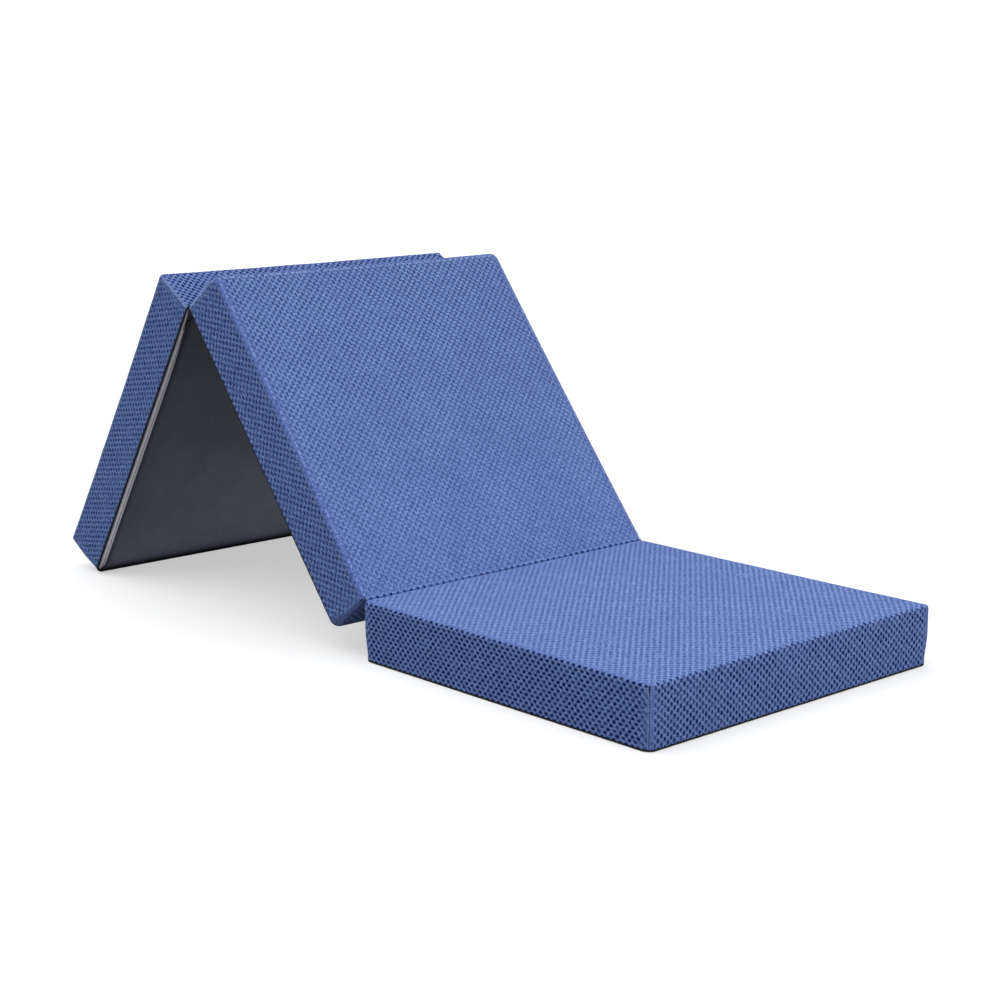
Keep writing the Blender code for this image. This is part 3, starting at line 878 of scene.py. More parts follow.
def blue_mesh_finish():
    """Blue knit with heathered yarn, painted shade in its holes, a painted highlight between them, and
    sewn corners.

    A corner seam is a dark slit, widest at its top, or a row of light stitches where the
    panel is sewn to the next one. Broken light stitches also run along the trimmed rims. A
    painted highlight tints the rounded rims of the long sides and the smooth band beside a dart.
    """
    finish, tree, shader = new_material("blue_spacer_mesh")
    opened, seam, down, tilt, rim, sewn, trim, drawn = (
        attribute(tree, name)
        for name in ("openness", "seam", "down", "tilt", "rim", "sewn", "trim", "drawn")
    )
    inputs = (("Cloth", cloth_place(tree)), ("Openness", opened), ("Tilt", tilt), ("Drawn", drawn))
    holes = use_group(tree, HOLES, inputs)
    broad, fine = mottle(tree, 9, 430)
    # Painted highlight on the cloth between two holes, stronger on the top than down the sides.
    bar_highlight = times(tree, holes["Highlight"], ramp(tree, down, 0, 0.008, 0.9, 0.4))
    fuzz = ramp(tree, holes["Fuzz"], 0.55, 0.34, 0, 0.7)
    fuzz = times(tree, fuzz, ramp(tree, drawn, 0, 1, 1, 0.45))
    colour = paint(
        tree, YARN_DARK,
        (ramp(tree, fine, 0.36, 0.64), YARN_LIGHT),
        (bar_highlight, BAR_HIGHLIGHT),
        (fuzz, FUZZ_DARK),
        (ramp(tree, broad, 0.35, 0.65, 0, 0.2), CLOUD_BLUE),
        (ramp(tree, holes["Rows"], 0.15, 0.6, 0.2, 0), ROW_DARK),
        # Painted highlight along the rounded rims of the long sides, and on the smooth band beside a
        # dart.
        (times(tree, rim, 0.35), RIM_HIGHLIGHT_BLUE),
        # Painted shade in the holes, as deep as each hole is open.
        (holes["Hole"], HOLE_SHADE),
    )
    dash = ramp(tree, maths(tree, "SINE", times(tree, down, math.tau / STITCH)), -0.5, 0.2)
    beside = times(tree, ramp(tree, seam, 0.0010, 0.0018), ramp(tree, seam, 0.0030, 0.0038, 1, 0))
    beside = times(tree, beside, ramp(tree, sewn, 0, 1, 0.35, 0.9))
    line = maths(tree, "ABSOLUTE", maths(tree, "ADD", down, TRIM_LINE))
    line = times(tree, trim, ramp(tree, line, 0.0007, 0.0018, 1, 0))
    broken = ramp(tree, holes["Fuzz"], 0.46, 0.6, 0, 0.8)
    threads = maths(tree, "MAXIMUM", times(tree, dash, beside), times(tree, line, broken))
    # The slit colour also lies along the front crease, where the bridge's seam value is small. There it
    # is painted shade in the crease.
    slit = maths(tree, "DIVIDE", seam, ramp(tree, down, 0.008, 0.022, 0.0032, 0.0012))
    depth = times(tree, ramp(tree, down, 0.008, 0.024, 0.9, 0.5), ramp(tree, sewn, 0, 1, 1, 0.2))
    slit = times(tree, ramp(tree, slit, 0.35, 1.0, 1, 0), depth)
    colour = paint(tree, colour, (threads, STITCH_LIGHT), (slit, SLIT_DARK))
    roughness = ramp(tree, fine, 0, 1, 0.78, 0.95)
    wire_up(tree, shader, colour, roughness, bump(tree, holes["Height"], 0.0012, 0.6))
    shader.inputs["Sheen Weight"].default_value = 0.08
    shader.inputs["Sheen Roughness"].default_value = 0.5
    shader.inputs["Specular IOR Level"].default_value = 0.15
    return finish


BLUE = blue_mesh_finish()
print("finish:", BLUE.name)

# %% Make the three covers
for panel in PANELS:
    points, faces, flat, values = cover_arrays(panel)
    cover = make_piece(f"{panel.name}_spacer_cover", points, faces, BLUE, flat, values)
    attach(cover, panel.body)
    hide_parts(f"{panel.name}_mesh_cover")

# %% [markdown]
# The underside is a charcoal fabric, stretched flat inside the piping and hemmed along the
# zip, where it covers the tape's two ends. It is thin cloth, so it is a slab of two skins on
# one grid, with shallow waves in its face. The grid's rows are squeezed at the corners to
# follow the piping round.

# %% Slabs of thin cloth
PIPING_ZONE = 0.0036  # from the panel's side to the first thing inside the piping


def slab_triangles(shape):
    """Triangles of a closed slab whose points are one grid, then the same grid again.

    The grid is used twice, once for each face, and the two rims are joined by a wall.
    """
    count = shape[0] * shape[1]
    index = np.arange(count).reshape(shape)
    rim = np.concatenate((index[:, 0], index[-1, 1:], index[-2::-1, -1], index[0, -2:0:-1]))
    following = np.roll(rim, -1)
    faces = grid_triangles(index, np.zeros(count))
    wall = np.concatenate(
        (
            np.column_stack((rim, following, following + count)),
            np.column_stack((rim, following + count, rim + count)),
        )
    )
    return np.concatenate((faces[:, ::-1], faces + count, wall))


def slab(across, along, low_face, high_face, weave):
    """A closed slab from a grid of places and the heights of its two faces.

    It gives the points, the faces, and the flat places of both faces, where weave says how
    many units of the weave's pattern go to a metre.
    """
    flat = np.column_stack((along.ravel(), across.ravel()))
    faces = [np.column_stack((flat, face.ravel())) for face in (low_face, high_face)]
    return np.concatenate(faces), slab_triangles(along.shape), np.tile(flat, (2, 1)) * weave


def corner_cut(along, half, radius):
    """How far a rounded corner takes the side in, at each place along it."""
    into = np.clip(np.abs(along) - (half - radius), 0, radius)
    return radius - np.sqrt(np.maximum(radius**2 - into**2, 0))


def hemmed_lines(low, high, step, first):
    """Even lines from low to high, with two more close to each end for a rolled edge."""
    inner = np.linspace(low + 2 * first, high - 2 * first, max(3, int((high - low) / step)))
    close = first * np.array((0, 0.3, 1))
    return np.concatenate((low + close, inner, high - close[::-1]))


def foot_radius(panel, along, inset):
    """The radius of the corner nearest to each place along a panel, less an inset."""
    low, high = corner_radii(panel, inset)
    return np.where(along < 0, low, high)


def from_ends(panel, along, sewn, free):
    """Two rules for the distance from a panel's end, for its sewn end and for a free one."""
    away = panel.half_length - np.abs(along)
    return np.where(np.sign(along) == SEWN_END[panel.name], sewn(away), free(away))


print("corner radii inside the piping:", [corner_radii(panel, PIPING_ZONE) for panel in PANELS])

# %% Underside sheets
ZIP_WIDTH = 0.0146
SHEET_OUT, SHEET_IN = 0.0004, 0.0019  # faces above the plane of the underside
SHEET_STEP, SHEET_EDGE = 0.006, 0.0016  # grid lines along the panel: even ones, and the hem's
SHARE_STEP, SHARE_EDGE = 0.0095, 0.0026  # and across it, as shares of the sheet's width there
ROLL_WIDTH, ROLL_IN, ROLL_OUT = 0.0026, 0.0009, 0.0004  # the rolled edge, and how thin it gets
SHEET_WEAVE = 100  # units of the weave's pattern to a metre
EDGE_SHADE_BAND = (0.004, 0.007)  # distances from the edge between which the sheet's painted shade along its edges ends


def tape_cover(panel, along):
    """How much of the zip strip's width the sheet leaves open, so that the slider runs free.

    It grows from nothing at either end, a little sooner at the sewn one, where the slider
    parks.
    """
    return from_ends(
        panel, along,
        lambda away: smoothstep(-0.010, 0.019, away) * smoothstep(0.003, 0.014, away),
        lambda away: smoothstep(0.003, 0.018, away),
    )


def underside_arrays(panel):
    """A sheet inside the piping: waves in its outer face, and a rolled edge on both faces."""
    half = panel.half_length - PIPING_ZONE
    side = panel.half_width - PIPING_ZONE
    x = hemmed_lines(-half, half, SHEET_STEP, SHEET_EDGE)
    share = hemmed_lines(0, 1, SHARE_STEP, SHARE_EDGE)
    cut = corner_cut(x, half, foot_radius(panel, x, PIPING_ZONE))
    near = (-side + cut + ZIP_WIDTH * tape_cover(panel, x))[:, None]
    far = (side - cut)[:, None]
    along = np.repeat(x[:, None], len(share), 1)
    across = near + (far - near) * share
    edge = np.minimum(half - np.abs(along), np.minimum(across - near, far - across))
    roll = 1 - smoothstep(0, ROLL_WIDTH, edge)
    wave = np.sin(along * 19 + 0.7) * np.sin(across * 15 + 1.9) + 0.5 * np.sin(along * 41 - across * 37)
    wave += 0.35 * np.sin(across * 90 + 3 * np.sin(along * 12)) * (1 - smoothstep(0, 0.05, edge))
    out = SHEET_OUT * (0.75 + 0.33 * wave * smoothstep(0, 0.02, edge)) + ROLL_IN * roll
    points, faces, flat = slab(across, along, out, SHEET_IN - ROLL_OUT * roll, SHEET_WEAVE)
    # A band along every edge of the sheet, where it tucks in beside the piping and the zip, gets
    # painted shade.
    hem = np.tile((1 - smoothstep(*EDGE_SHADE_BAND, edge)).ravel(), 2)
    area = float(np.trapz((far - near).ravel(), x))
    return panel.to_world(points), faces, flat, {"hem": hem}, area


def charcoal_finish():
    """Dark cloth, faintly mottled as if brushed, with a paler worn bloom, a fine weave, and painted
    shade along its edges.
    """
    finish, tree, shader = new_material("charcoal_cloth")
    cloud, speck = mottle(tree, 7, 260)
    colour = paint(
        tree, linear(74, 77, 90),
        (ramp(tree, cloud, 0.36, 0.68), linear(85, 87, 102)),
        (ramp(tree, speck, 0.35, 0.75, 0, 0.35), linear(98, 99, 114)),
        # Painted shade in a band along the sheet's edges.
        (times(tree, attribute(tree, "hem"), 0.4), linear(40, 40, 48)),
    )
    height = maths(tree, "ADD", times(tree, twill(tree, 2.4, 1.2), 0.3), times(tree, cloud, 2.0))
    roughness = ramp(tree, cloud, 0.3, 0.7, 0.82, 0.94)
    wire_up(tree, shader, colour, roughness, bump(tree, height, 0.0006, 0.5))
    shader.inputs["Specular IOR Level"].default_value = 0.15
    return finish


CHARCOAL = charcoal_finish()
for panel in PANELS:
    points, faces, flat, values, area = underside_arrays(panel)
    name = f"{panel.name}_underside_sheet"
    sheet = make_piece(name, points, faces, CHARCOAL, flat, values)
    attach(sheet, panel.body)
    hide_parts(f"{panel.name}_bottom_sheet")

# %% [markdown]
# Black piping closes the seam round the bottom edge: a cord wrapped in a bias strip, so its
# surface shows a slow twist. It is a profile carried round a rounded rectangle. The corners
# are tight where two undersides meet in a fold, because the cloth is pulled together there.

# %% Piping
PIPING_RADIUS = 0.00165
PIPING_STEP, PIPING_SIDES = 0.0022, 10  # length of one ring of faces, and faces in a ring
RIDGES, TWIST = 3, 0.03  # ridges round it, and the length over which they turn by one ridge
RIDGE_DEPTH = 0.06  # half of it, as a share of the radius
QUARTER = np.linspace(0, math.pi / 2, 13)  # angles of a corner's quarter circle
PIPING_WEAVE = (200, 1)  # units of the weave's pattern to a metre along, a radian round


def rounded_rectangle(half_length, half_width, radii, step):
    """Places round a rectangle with a radius at each end, low then high, in equal steps.

    Four quarter circles are laid end to end, the straight sides being the gaps between
    them, and the whole line is then resampled by its length.
    """
    corners = []
    for turn, (x, y) in enumerate(((1, -1), (1, 1), (-1, 1), (-1, -1))):
        radius = radii[1] if x > 0 else radii[0]
        centre = np.array((x * (half_length - radius), y * (half_width - radius)))
        angle = QUARTER + (turn - 1) * math.pi / 2
        corners.append(centre + radius * np.column_stack((np.cos(angle), np.sin(angle))))
    line = np.concatenate(corners)
    line = np.concatenate((line, line[:1]))
    far = np.concatenate(((0.0,), np.cumsum(np.linalg.norm(np.diff(line, axis=0), axis=1))))
    count = int(far[-1] / step)
    at = np.arange(count) * far[-1] / count
    return np.column_stack([np.interp(at, far, line[:, k]) for k in (0, 1)]), at


def closed_tube(line, at, height, radius, sides, ridges, twist):
    """A tube round a flat closed line, its radius waving with ridges that turn as they run."""
    ahead = np.roll(line, -1, 0) - np.roll(line, 1, 0)
    ahead /= np.linalg.norm(ahead, axis=1)[:, None]
    outward = np.column_stack((ahead[:, 1], -ahead[:, 0]))
    around = np.arange(sides) * math.tau / sides
    turns = round(at[-1] / twist)
    phase = ridges * (around[None, :] + at[:, None] * math.tau * turns / (at[-1] + at[1]) / ridges)
    size = radius * (1 - RIDGE_DEPTH + RIDGE_DEPTH * np.cos(phase))
    plan = line[:, None, :] + size[..., None] * np.cos(around)[None, :, None] * outward[:, None, :]
    up = height + size * np.sin(around)
    points = np.concatenate((plan, up[..., None]), 2).reshape(-1, 3)
    index = np.arange(len(points)).reshape(size.shape)
    index = np.concatenate((index, index[:1]))
    index = np.concatenate((index, index[:, :1]), 1)
    cloth = np.column_stack((np.repeat(at, sides), np.tile(around, len(at)))) * PIPING_WEAVE
    return points, grid_triangles(index, np.zeros(len(points))), cloth


def piping_finish():
    """Black bias strip in fine twill, with a little pale dust caught in it."""
    finish, tree, shader = new_material("black_bias_piping")
    _, speck = mottle(tree, 30, 700)
    colour = paint(tree, linear(22, 22, 27), (ramp(tree, speck, 0.4, 0.75), linear(48, 47, 54)))
    roughness = ramp(tree, speck, 0.2, 0.8, 0.7, 0.9)
    wire_up(tree, shader, colour, roughness, bump(tree, twill(tree, 0.9, 0.6), 0.0003, 0.6))
    return finish


PIPING = piping_finish()
for panel in PANELS:
    half, side = panel.half_length - PIPING_RADIUS, panel.half_width - PIPING_RADIUS
    line, at = rounded_rectangle(half, side, corner_radii(panel, PIPING_RADIUS), PIPING_STEP)
    points, faces, flat = closed_tube(
        line, at, PIPING_RADIUS, PIPING_RADIUS, PIPING_SIDES, RIDGES, TWIST
    )
    piping = make_piece(f"{panel.name}_piping", panel.to_world(points), faces, PIPING, flat)
    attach(piping, panel.body)
    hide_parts(f"{panel.name}_edge_piping")

# %% [markdown]
# A zip runs under each panel along its near edge. Its near tape is folded into a soft roll
# beside the coil, which is what catches the light. The slider passes beside the roll, and
# both tapes lie flat under the sheet at the ends.

# %% Zip tapes
TAPES = {"near": (-0.3207, -0.3124), "far": (-0.3110, -0.2987)}  # where each lies, across
TAPE_REST, TAPE_THICK = 0.0029, 0.0006
TAPE_GAP = 0.0004  # between the tape and what is round it
TAPE_LEAST = 0.002  # width left of the near tape in a corner
TAPE_GRID, TAPE_WEAVE = (260, 15), 1000
ROLL = (-0.3206, 0.0043, 0.0024)  # where the near tape's roll starts, its width and height


def tape_arrays(panel, low, high):
    """A tape between two places across, which bulges outwards in a roll along the near edge.

    The bulge is a sine arch over the roll's width. It sinks away at the panel's ends, and a
    slow wobble along it keeps it from looking machined.
    """
    half = panel.half_length - PIPING_ZONE - TAPE_GAP
    side = panel.half_width - PIPING_ZONE
    x, share = np.linspace(-half, half, TAPE_GRID[0]), np.linspace(0, 1, TAPE_GRID[1])
    cut = corner_cut(x, half, foot_radius(panel, x, PIPING_ZONE))
    near = np.minimum(np.maximum(low, -side + TAPE_GAP + cut), high - TAPE_LEAST)[:, None]
    along = np.repeat(x[:, None], len(share), 1)
    across = near + (high - near) * share
    start, width, height = ROLL
    arch = np.sin(math.pi * np.clip((across - start) / width, 0, 1)) ** 0.8
    full = from_ends(
        panel, along,
        lambda away: smoothstep(0.012, 0.040, away),
        lambda away: smoothstep(0.006, 0.020, away),
    )
    wobble = 1 + 0.08 * np.sin(along * 31 + 2) + 0.05 * np.sin(along * 83)
    out = TAPE_REST - arch * full * height * wobble
    points, faces, flat = slab(across, along, out, out + TAPE_THICK, TAPE_WEAVE)
    shown = from_ends(
        panel, along,
        lambda away: 1 - np.exp(-away / 0.065),
        lambda away: smoothstep(0.000, 0.016, away),
    )
    tab = smoothstep(-0.08, 0.08, (across + side) / ZIP_WIDTH - shown)
    return panel.to_world(points), faces, flat, {"tab": np.tile(tab.ravel(), 2)}


def tape_finish():
    """Grey polyester tape in fine twill. Charcoal tabs are worked over it at both ends."""
    finish, tree, shader = new_material("grey_twill_tape")
    thread = twill(tree, 0.16)
    grime, _ = mottle(tree, 38, 400)
    colour = paint(
        tree, linear(214, 215, 225),
        (thread, linear(234, 235, 243)),
        (ramp(tree, grime, 0.45, 0.8, 0, 0.4), linear(176, 175, 186)),
        (attribute(tree, "tab"), linear(58, 58, 70)),
    )
    roughness = ramp(tree, thread, 0, 1, 0.6, 0.8)
    wire_up(tree, shader, colour, roughness, bump(tree, thread, 0.0002, 0.5))
    return finish


TAPE = tape_finish()
for panel in PANELS:
    for side, (low, high) in TAPES.items():
        points, faces, flat, values = tape_arrays(panel, low, high)
        tape = make_piece(f"{panel.name}_tape_{side}", points, faces, TAPE, flat, values)
        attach(tape, panel.body)
        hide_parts(f"{panel.name}_zip_tape_{side}")

# %% [markdown]
# The front and middle panels are joined in the blue face. The cloth of one runs on into the
# other over the groove between their rounded rims, so the bridge is a wedge of cloth: its
# face follows both blue faces to the crease, and its back follows the two rims below. A row
# of holes lies along the crease. It bends with the fold, so it blends between the panels.

# %% Front crease
BRIDGE_REACH = 0.0078
BRIDGE_SINK = 0.00035  # how far its face lies below the blue faces beside it
BRIDGE_CLEAR = 0.0003  # air between its back and the rims
BRIDGE_THIN, BRIDGE_DEEP = 0.0003, 0.0030  # its least thickness, and how deep its back may lie
FOLD_GAP = 0.0006  # from the fold to either panel
BRIDGE_LINES, LINES_A_HOLE = 9, 8
CREASE_LINE, CREASE_BEND = 0.0006, 0.0016  # first line beside the crease, half the bend's width
HOLE_ROW, HOLE_ROW_HALF = 0.0009, 0.0018  # how far past the crease the holes lie, and their reach
CREASE_DIMPLE, CREASE_BACK = 0.0011, 0.0004  # how deep a hole is, and the back behind it
CREASE_OPEN, CREASE_SEAM = 1.2, 0.0006  # for the material: open holes, and a dark line of painted shade in the crease
PAST_RIM = 0.05  # for the material too: so far down a side that no stitches show


def rim_depth(distance, gap):
    """How far a rounded rim lies below its face, at a distance from the fold."""
    into = np.clip(RIM + gap - distance, 0, RIM)
    return RIM - np.sqrt(RIM**2 - into**2)


def bridge_arrays(first, second, pivot, half_width):
    """A strip of cloth across the front fold: first and second point away from the crease.

    A point is the fold's own place, plus a walk along one of the two blue faces, plus its
    depth along the way into the foam, which turns from one face's to the other's.
    """
    beside = np.linspace(CREASE_LINE, BRIDGE_REACH, BRIDGE_LINES)
    s = np.concatenate((-beside[::-1], (0.0,), beside))
    pitch = HOLE_PITCH["middle"]
    step = pitch[1] / LINES_A_HOLE
    count = int(half_width / step)
    y = np.concatenate(((-half_width,), step * np.arange(-count, count + 1), (half_width,)))
    run = np.maximum(-s, 0)[:, None] * first + np.maximum(s, 0)[:, None] * second
    share = smoothstep(-CREASE_BEND, CREASE_BEND, s)[:, None]
    inward = first[::-1] * (1, 0, -1) * (1 - share) + second[::-1] * (1, 0, -1) * share
    inward /= np.linalg.norm(inward, axis=1)[:, None]
    opened = np.exp(-(((s - HOLE_ROW) / HOLE_ROW_HALF) ** 2))
    hole = np.clip(np.cos(math.tau * y / pitch[1]), 0, 1) ** 2
    face = BRIDGE_SINK + CREASE_DIMPLE * opened[:, None] * hole
    back = np.minimum(rim_depth(np.abs(s), FOLD_GAP) - BRIDGE_CLEAR, BRIDGE_DEEP)
    back = np.maximum(back, BRIDGE_SINK + BRIDGE_THIN) + CREASE_BACK * (opened > 0.3)
    back = np.maximum(back[:, None], face + BRIDGE_THIN)
    points = [
        pivot + run[:, None] + depth[..., None] * inward[:, None] + y[:, None] * ACROSS
        for depth in (back, face)
    ]
    cloth = np.column_stack(
        (np.repeat((s - HOLE_ROW) / pitch[0], len(y)), np.tile(y / pitch[1], len(s)))
    )
    values = {
        "openness": np.tile(np.repeat(CREASE_OPEN * opened, len(y)), 2),
        "seam": np.tile(np.repeat(CREASE_SEAM + 0.5 * np.abs(s), len(y)), 2),
        "down": np.full(2 * face.size, PAST_RIM),
    }
    points = np.concatenate(points).reshape(-1, 3)
    return points, slab_triangles(face.shape), np.tile(cloth, (2, 1)), values


front, middle, rear = PANELS
front_pivot = np.array(FOLD["front_fold"], float)
points, faces, flat, values = bridge_arrays(
    front.axes[0], -middle.axes[0], front_pivot, front.half_width - CORNER_TOP
)
bridge = make_piece("front_crease_bridge", points, faces, BLUE, flat, values)
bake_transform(bridge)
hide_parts("front_hinge_seam")

# %% [markdown]
# The middle and rear panels are joined at their undersides by a line of heavy stitches
# between the two pipings. A bar along the fold whose radius swells and shrinks with each
# stitch gives that.

# %% Rear fold seam
BAR_RADIUS, BAR_HALF, BAR_SIDES = 0.00095, 0.309, 10
RINGS_A_STITCH = 8


def stitched_bar(radius, half_width, pivot, first, up):
    """A bar along Y with a bulge for each stitch, its last rings drawn in and closed by a fan."""
    count = int(2 * half_width / STITCH) * RINGS_A_STITCH
    y = np.linspace(-half_width, half_width, count + 1)
    around = np.arange(BAR_SIDES) * math.tau / BAR_SIDES
    swollen = 0.72 + 0.28 * np.abs(np.sin(math.pi * y / STITCH))
    into_end = ((np.abs(y) - half_width + radius) / radius).clip(0, 1)
    size = radius * swollen * np.sqrt(np.clip(1 - into_end**2, 0.01, 1))
    ring = np.cos(around)[None, :, None] * first + np.sin(around)[None, :, None] * up
    points = (pivot + y[:, None, None] * ACROSS + size[:, None, None] * ring).reshape(-1, 3)
    index = np.arange(len(points)).reshape(len(y), BAR_SIDES)
    sides = grid_triangles(np.concatenate((index, index[:, :1]), 1), np.zeros(len(points)))
    caps = [
        np.column_stack((np.full(BAR_SIDES - 2, end[0]), end[1:-1], end[2:]))
        for end in (index[0], index[-1, ::-1])
    ]
    return points, np.concatenate([sides, *caps])


rear_pivot = np.array(FOLD["rear_fold"], float)
points, faces = stitched_bar(BAR_RADIUS, BAR_HALF, rear_pivot, middle.axes[0], middle.axes[2])
seam = make_piece("rear_fold_stitching", points, faces, PIPING, np.zeros((len(points), 2)))
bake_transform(seam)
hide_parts("rear_hinge_seam")

# %% [markdown]
# Inside each cover lies a firm base block with a softer layer glued on top. The soft layer
# fills the cover, so it is the same wrapped and crowned form, a little smaller, closed by a
# flat face where it is glued. The base is sawn straight: one outline of its end, relieved
# along the near edge for the zip, carried along the panel and drawn in round the corners.

# %% Foam blocks
FOAM_INSET = 0.0034
FOAM_GRID, FOAM_LINES = np.array((0.02, 0.02)), (0.0025, 0.0)
BASE_LOW, BASE_TOP = 0.0030, 0.0720
GLUE = 0.0004  # thickness of the glue line
EASE = 0.0015  # how much is taken off each edge of the base
RELIEF = (-0.2984, 0.0074)  # how far across and how high the base is cut away over the zip
CORNER_ROWS, STRAIGHT_ROWS, STRAIGHT_FROM = 7, 20, 0.03


def soft_layer_arrays(panel):
    """The cover's own form from the glue line up, with a fan of triangles as its flat face."""
    foot = BASE_TOP + GLUE
    form = Form(panel, FOAM_INSET, foot)
    form.foot_low = form.foot_high = form.corner_top
    _, points, _, faces, ring = skin(form, FOAM_GRID, FOAM_LINES, SEAM_HALF / 2, no_holes)
    points = swell(points, Form(panel, FOAM_INSET))
    points[ring, 2] = foot
    fan = np.column_stack((np.roll(ring, -1), ring, np.full(len(ring), len(points))))
    points = np.concatenate((points, ((0.0, 0.0, foot),)))
    return panel.to_world(points), np.concatenate((faces, fan))


def base_block_arrays(panel):
    """One end's outline with eased edges, repeated along the panel, and a fan at each end."""
    half, side = panel.half_length - FOAM_INSET, panel.half_width - FOAM_INSET
    near, low, high = -side, BASE_LOW, BASE_TOP
    step, ledge = RELIEF
    outline = np.array(
        (
            (near, ledge + EASE), (near + EASE, ledge), (step - EASE, ledge),
            (step, ledge - EASE), (step, low + EASE), (step + EASE, low), (0.0, low),
            (side - EASE, low), (side, low + EASE), (side, 0.5 * high), (side, high - EASE),
            (side - EASE, high), (0.0, high), (near + EASE, high), (near, high - EASE),
            (near, 0.5 * high),
        )
    )
    turn = 1 - np.sin(np.linspace(0, math.pi / 2, CORNER_ROWS))
    low_radius, high_radius = corner_radii(panel, FOAM_INSET)
    middle_rows = np.linspace(STRAIGHT_FROM - half, half - STRAIGHT_FROM, STRAIGHT_ROWS)
    x = np.concatenate((-half + low_radius * turn[::-1], middle_rows, half - high_radius * turn))
    narrow = 1 - corner_cut(x, half, foot_radius(panel, x, FOAM_INSET)) / side
    points = np.stack(
        (
            np.repeat(x[:, None], len(outline), 1),
            outline[None, :, 0] * narrow[:, None],
            np.repeat(outline[None, :, 1], len(x), 0),
        ),
        -1,
    ).reshape(-1, 3)
    index = np.arange(len(points)).reshape(len(x), len(outline))
    walls = grid_triangles(np.concatenate((index, index[:, :1]), 1), np.zeros(len(points)))
    ends = []
    for row, end, turned in ((index[0], -half, False), (index[-1], half, True)):
        fan = np.column_stack((row, np.roll(row, -1), np.full(len(row), len(points))))
        points = np.concatenate((points, ((end, 0.0, 0.5 * high),)))
        ends.append(fan[:, ::-1] if turned else fan)
    return panel.to_world(points), np.concatenate((walls, *ends))


def foam_finish(name, light, dark, cell):
    """Open-cell foam: a field of small pits in soft, slightly yellowed plastic."""
    finish, tree, shader = new_material(name)
    inputs = (("Vector", object_place(tree)), ("Scale", cell))
    cells = add_node(tree, "ShaderNodeTexVoronoi", inputs, feature="F1").outputs["Distance"]
    age, _ = mottle(tree, 14, 600)
    colour = paint(
        tree, light, (ramp(tree, cells, 0.1, 0.6), dark), (ramp(tree, age, 0.4, 0.7, 0, 0.25), dark)
    )
    roughness = ramp(tree, cells, 0, 0.6, 0.85, 1.0)
    wire_up(tree, shader, colour, roughness, bump(tree, cells, 0.0005, 0.6))
    return finish


FOAMS = (
    ("soft_layer", "comfort_foam", "cream_foam", soft_layer_arrays, 0.9,
     foam_finish("soft_cream_foam", linear(231, 214, 176), linear(198, 178, 136), 700)),
    ("base_block", "base_foam", "white_foam", base_block_arrays, 1.0,
     foam_finish("firm_white_foam", linear(232, 229, 218), linear(196, 190, 172), 900)),
)
for panel in PANELS:
    for name, node, slot, arrays, fill, finish in FOAMS:
        points, faces = arrays(panel)
        foam = make_piece(f"{panel.name}_{name}", points, faces, finish, smooth=name == "soft_layer")
        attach(foam, panel.body)
        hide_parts(f"{panel.name}_{node}")

# %% [markdown]
# What is left of the CAD model is rigid: the zip's coils, sliders and pulls. Their shapes
# are right, so they stay as they are and only get a real finish.

# %% Finishes for the coils and the metal
COIL_TURN = 0.0012
SEWN_END_SHADE = (0.15, 0.04)  # distances from the sewn end between which painted shade darkens the coil


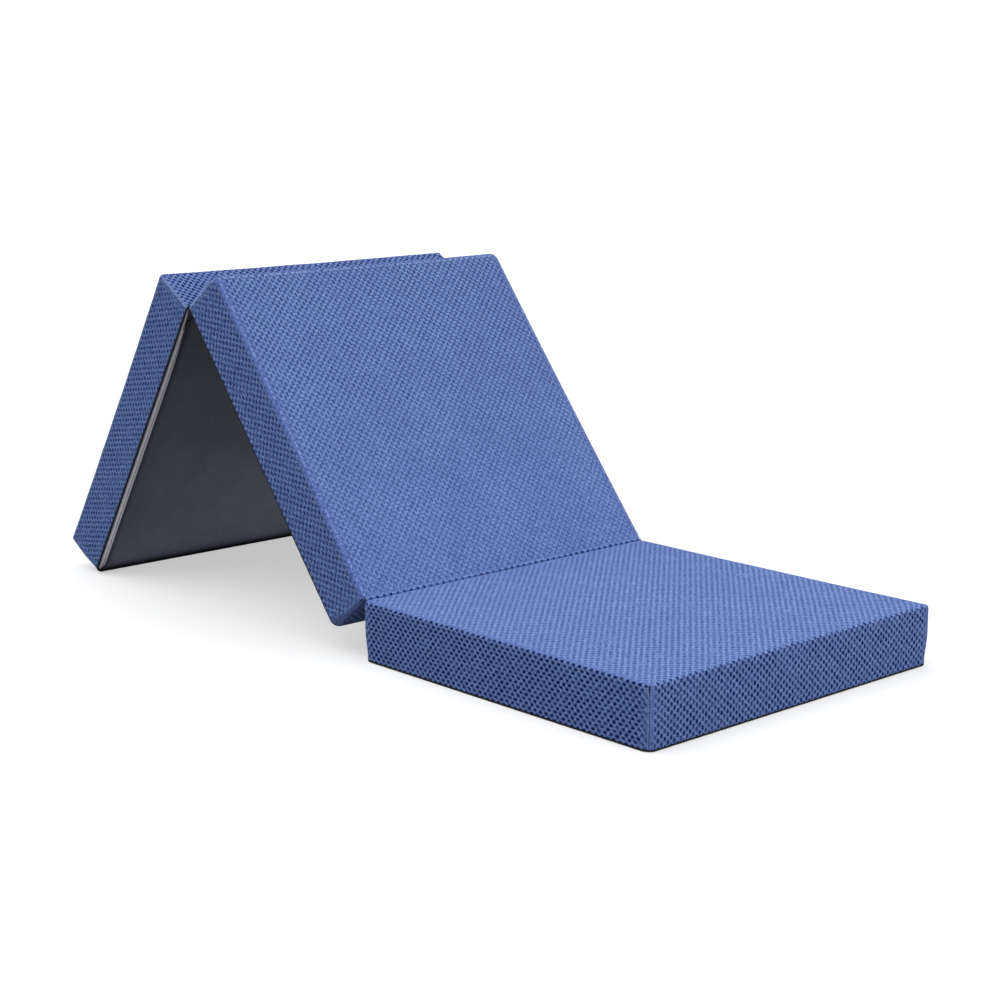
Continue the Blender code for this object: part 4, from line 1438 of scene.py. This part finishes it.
def coil_finish(panel):
    """Nylon coil: one turn every 1.2 mm along the panel, drawn as bands, each with a painted highlight
    on its crest.

    It is darker near the sewn end, with painted shade where the two undersides fold together.
    """
    finish, tree, shader = new_material(f"nylon_coil_{panel.name}")
    axis = tuple(panel.axes[0])
    along = vectors(tree, "DOT_PRODUCT", object_place(tree), axis, output="Value")
    turns = maths(tree, "SINE", times(tree, along, math.tau / COIL_TURN))
    from_middle = maths(tree, "SUBTRACT", along, float(panel.origin @ panel.axes[0]))
    from_middle = times(tree, from_middle, float(SEWN_END[panel.name]))
    start, end = (panel.half_length - distance for distance in SEWN_END_SHADE)
    colour = paint(
        tree, linear(128, 128, 138),
        # Painted highlight on the crest of each turn of the coil.
        (ramp(tree, turns, -1, 0.4), linear(196, 196, 206)),
        # Painted shade towards the sewn end, where the two undersides fold together.
        (ramp(tree, from_middle, start, end, 0, 0.85), linear(50, 50, 58)),
    )
    roughness = ramp(tree, turns, -1, 1, 0.6, 0.35)
    wire_up(tree, shader, colour, roughness, bump(tree, turns, 0.0003, 0.8))
    return finish


def metal_finish():
    """Die-cast zinc in charcoal lacquer, chipped to bare metal in small spots."""
    finish, tree, shader = new_material("lacquered_zinc")
    cloud, scratch = mottle(tree, 420, 2600)
    chips = ramp(tree, cloud, 0.66, 0.72)
    colour = paint(
        tree, linear(58, 59, 68),
        (ramp(tree, scratch, 0.3, 0.7), linear(72, 73, 84)),
        (chips, linear(128, 128, 134)),
    )
    tree.links.new(chips, shader.inputs["Metallic"])
    roughness = ramp(tree, scratch, 0.3, 0.7, 0.35, 0.55)
    wire_up(tree, shader, colour, roughness, bump(tree, scratch, 0.00005, 0.4))
    return finish


FINISH_OF = {"zip_slider": metal_finish()}
FINISH_OF["zip_pull"] = FINISH_OF["zip_slider"]
for panel in PANELS:
    coil = coil_finish(panel)
    FINISH_OF["zip_coil_near"] = FINISH_OF["zip_coil_far"] = coil
    for part, finish in FINISH_OF.items():
        materials = frame["nodes"][f"{panel.name}_{part}"].data.materials
        materials.clear()
        materials.append(finish)
print("finished", len(FINISH_OF), "kinds of CAD parts")

# %% [markdown]
# Dark cloth inside the tent of panels would come out black. In a studio the white floor
# throws light up there, but this floor was kept grey to all but the camera. So that light is
# given back to the undersides alone: a panel of light on the floor, linked to those pieces.

# %% Floor light for the undersides
BOUNCE_PLACE, BOUNCE_TARGET, BOUNCE_WATTS = (-0.78, 0.0, 0.004), (-0.78, 0.0, 1.0), 0.85
undersides = bpy.data.collections.new("undersides")
for panel in PANELS:
    for part in ("underside_sheet", "tape_near", "tape_far", "zip_coil_near", "zip_coil_far"):
        name = f"{panel.name}_{part}"
        undersides.objects.link(frame["nodes"].get(name) or bpy.data.objects[name])
bounce = add_light(
    "floor_bounce", "AREA", BOUNCE_PLACE, BOUNCE_TARGET, BOUNCE_WATTS,
    shape="RECTANGLE", size=0.66, size_y=0.62,
)
bounce.light_linking.receiver_collection = undersides
bounce.visible_camera = False

# %% Measure and finish
low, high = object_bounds()
print("visual box from", tuple(low), "to", tuple(high))
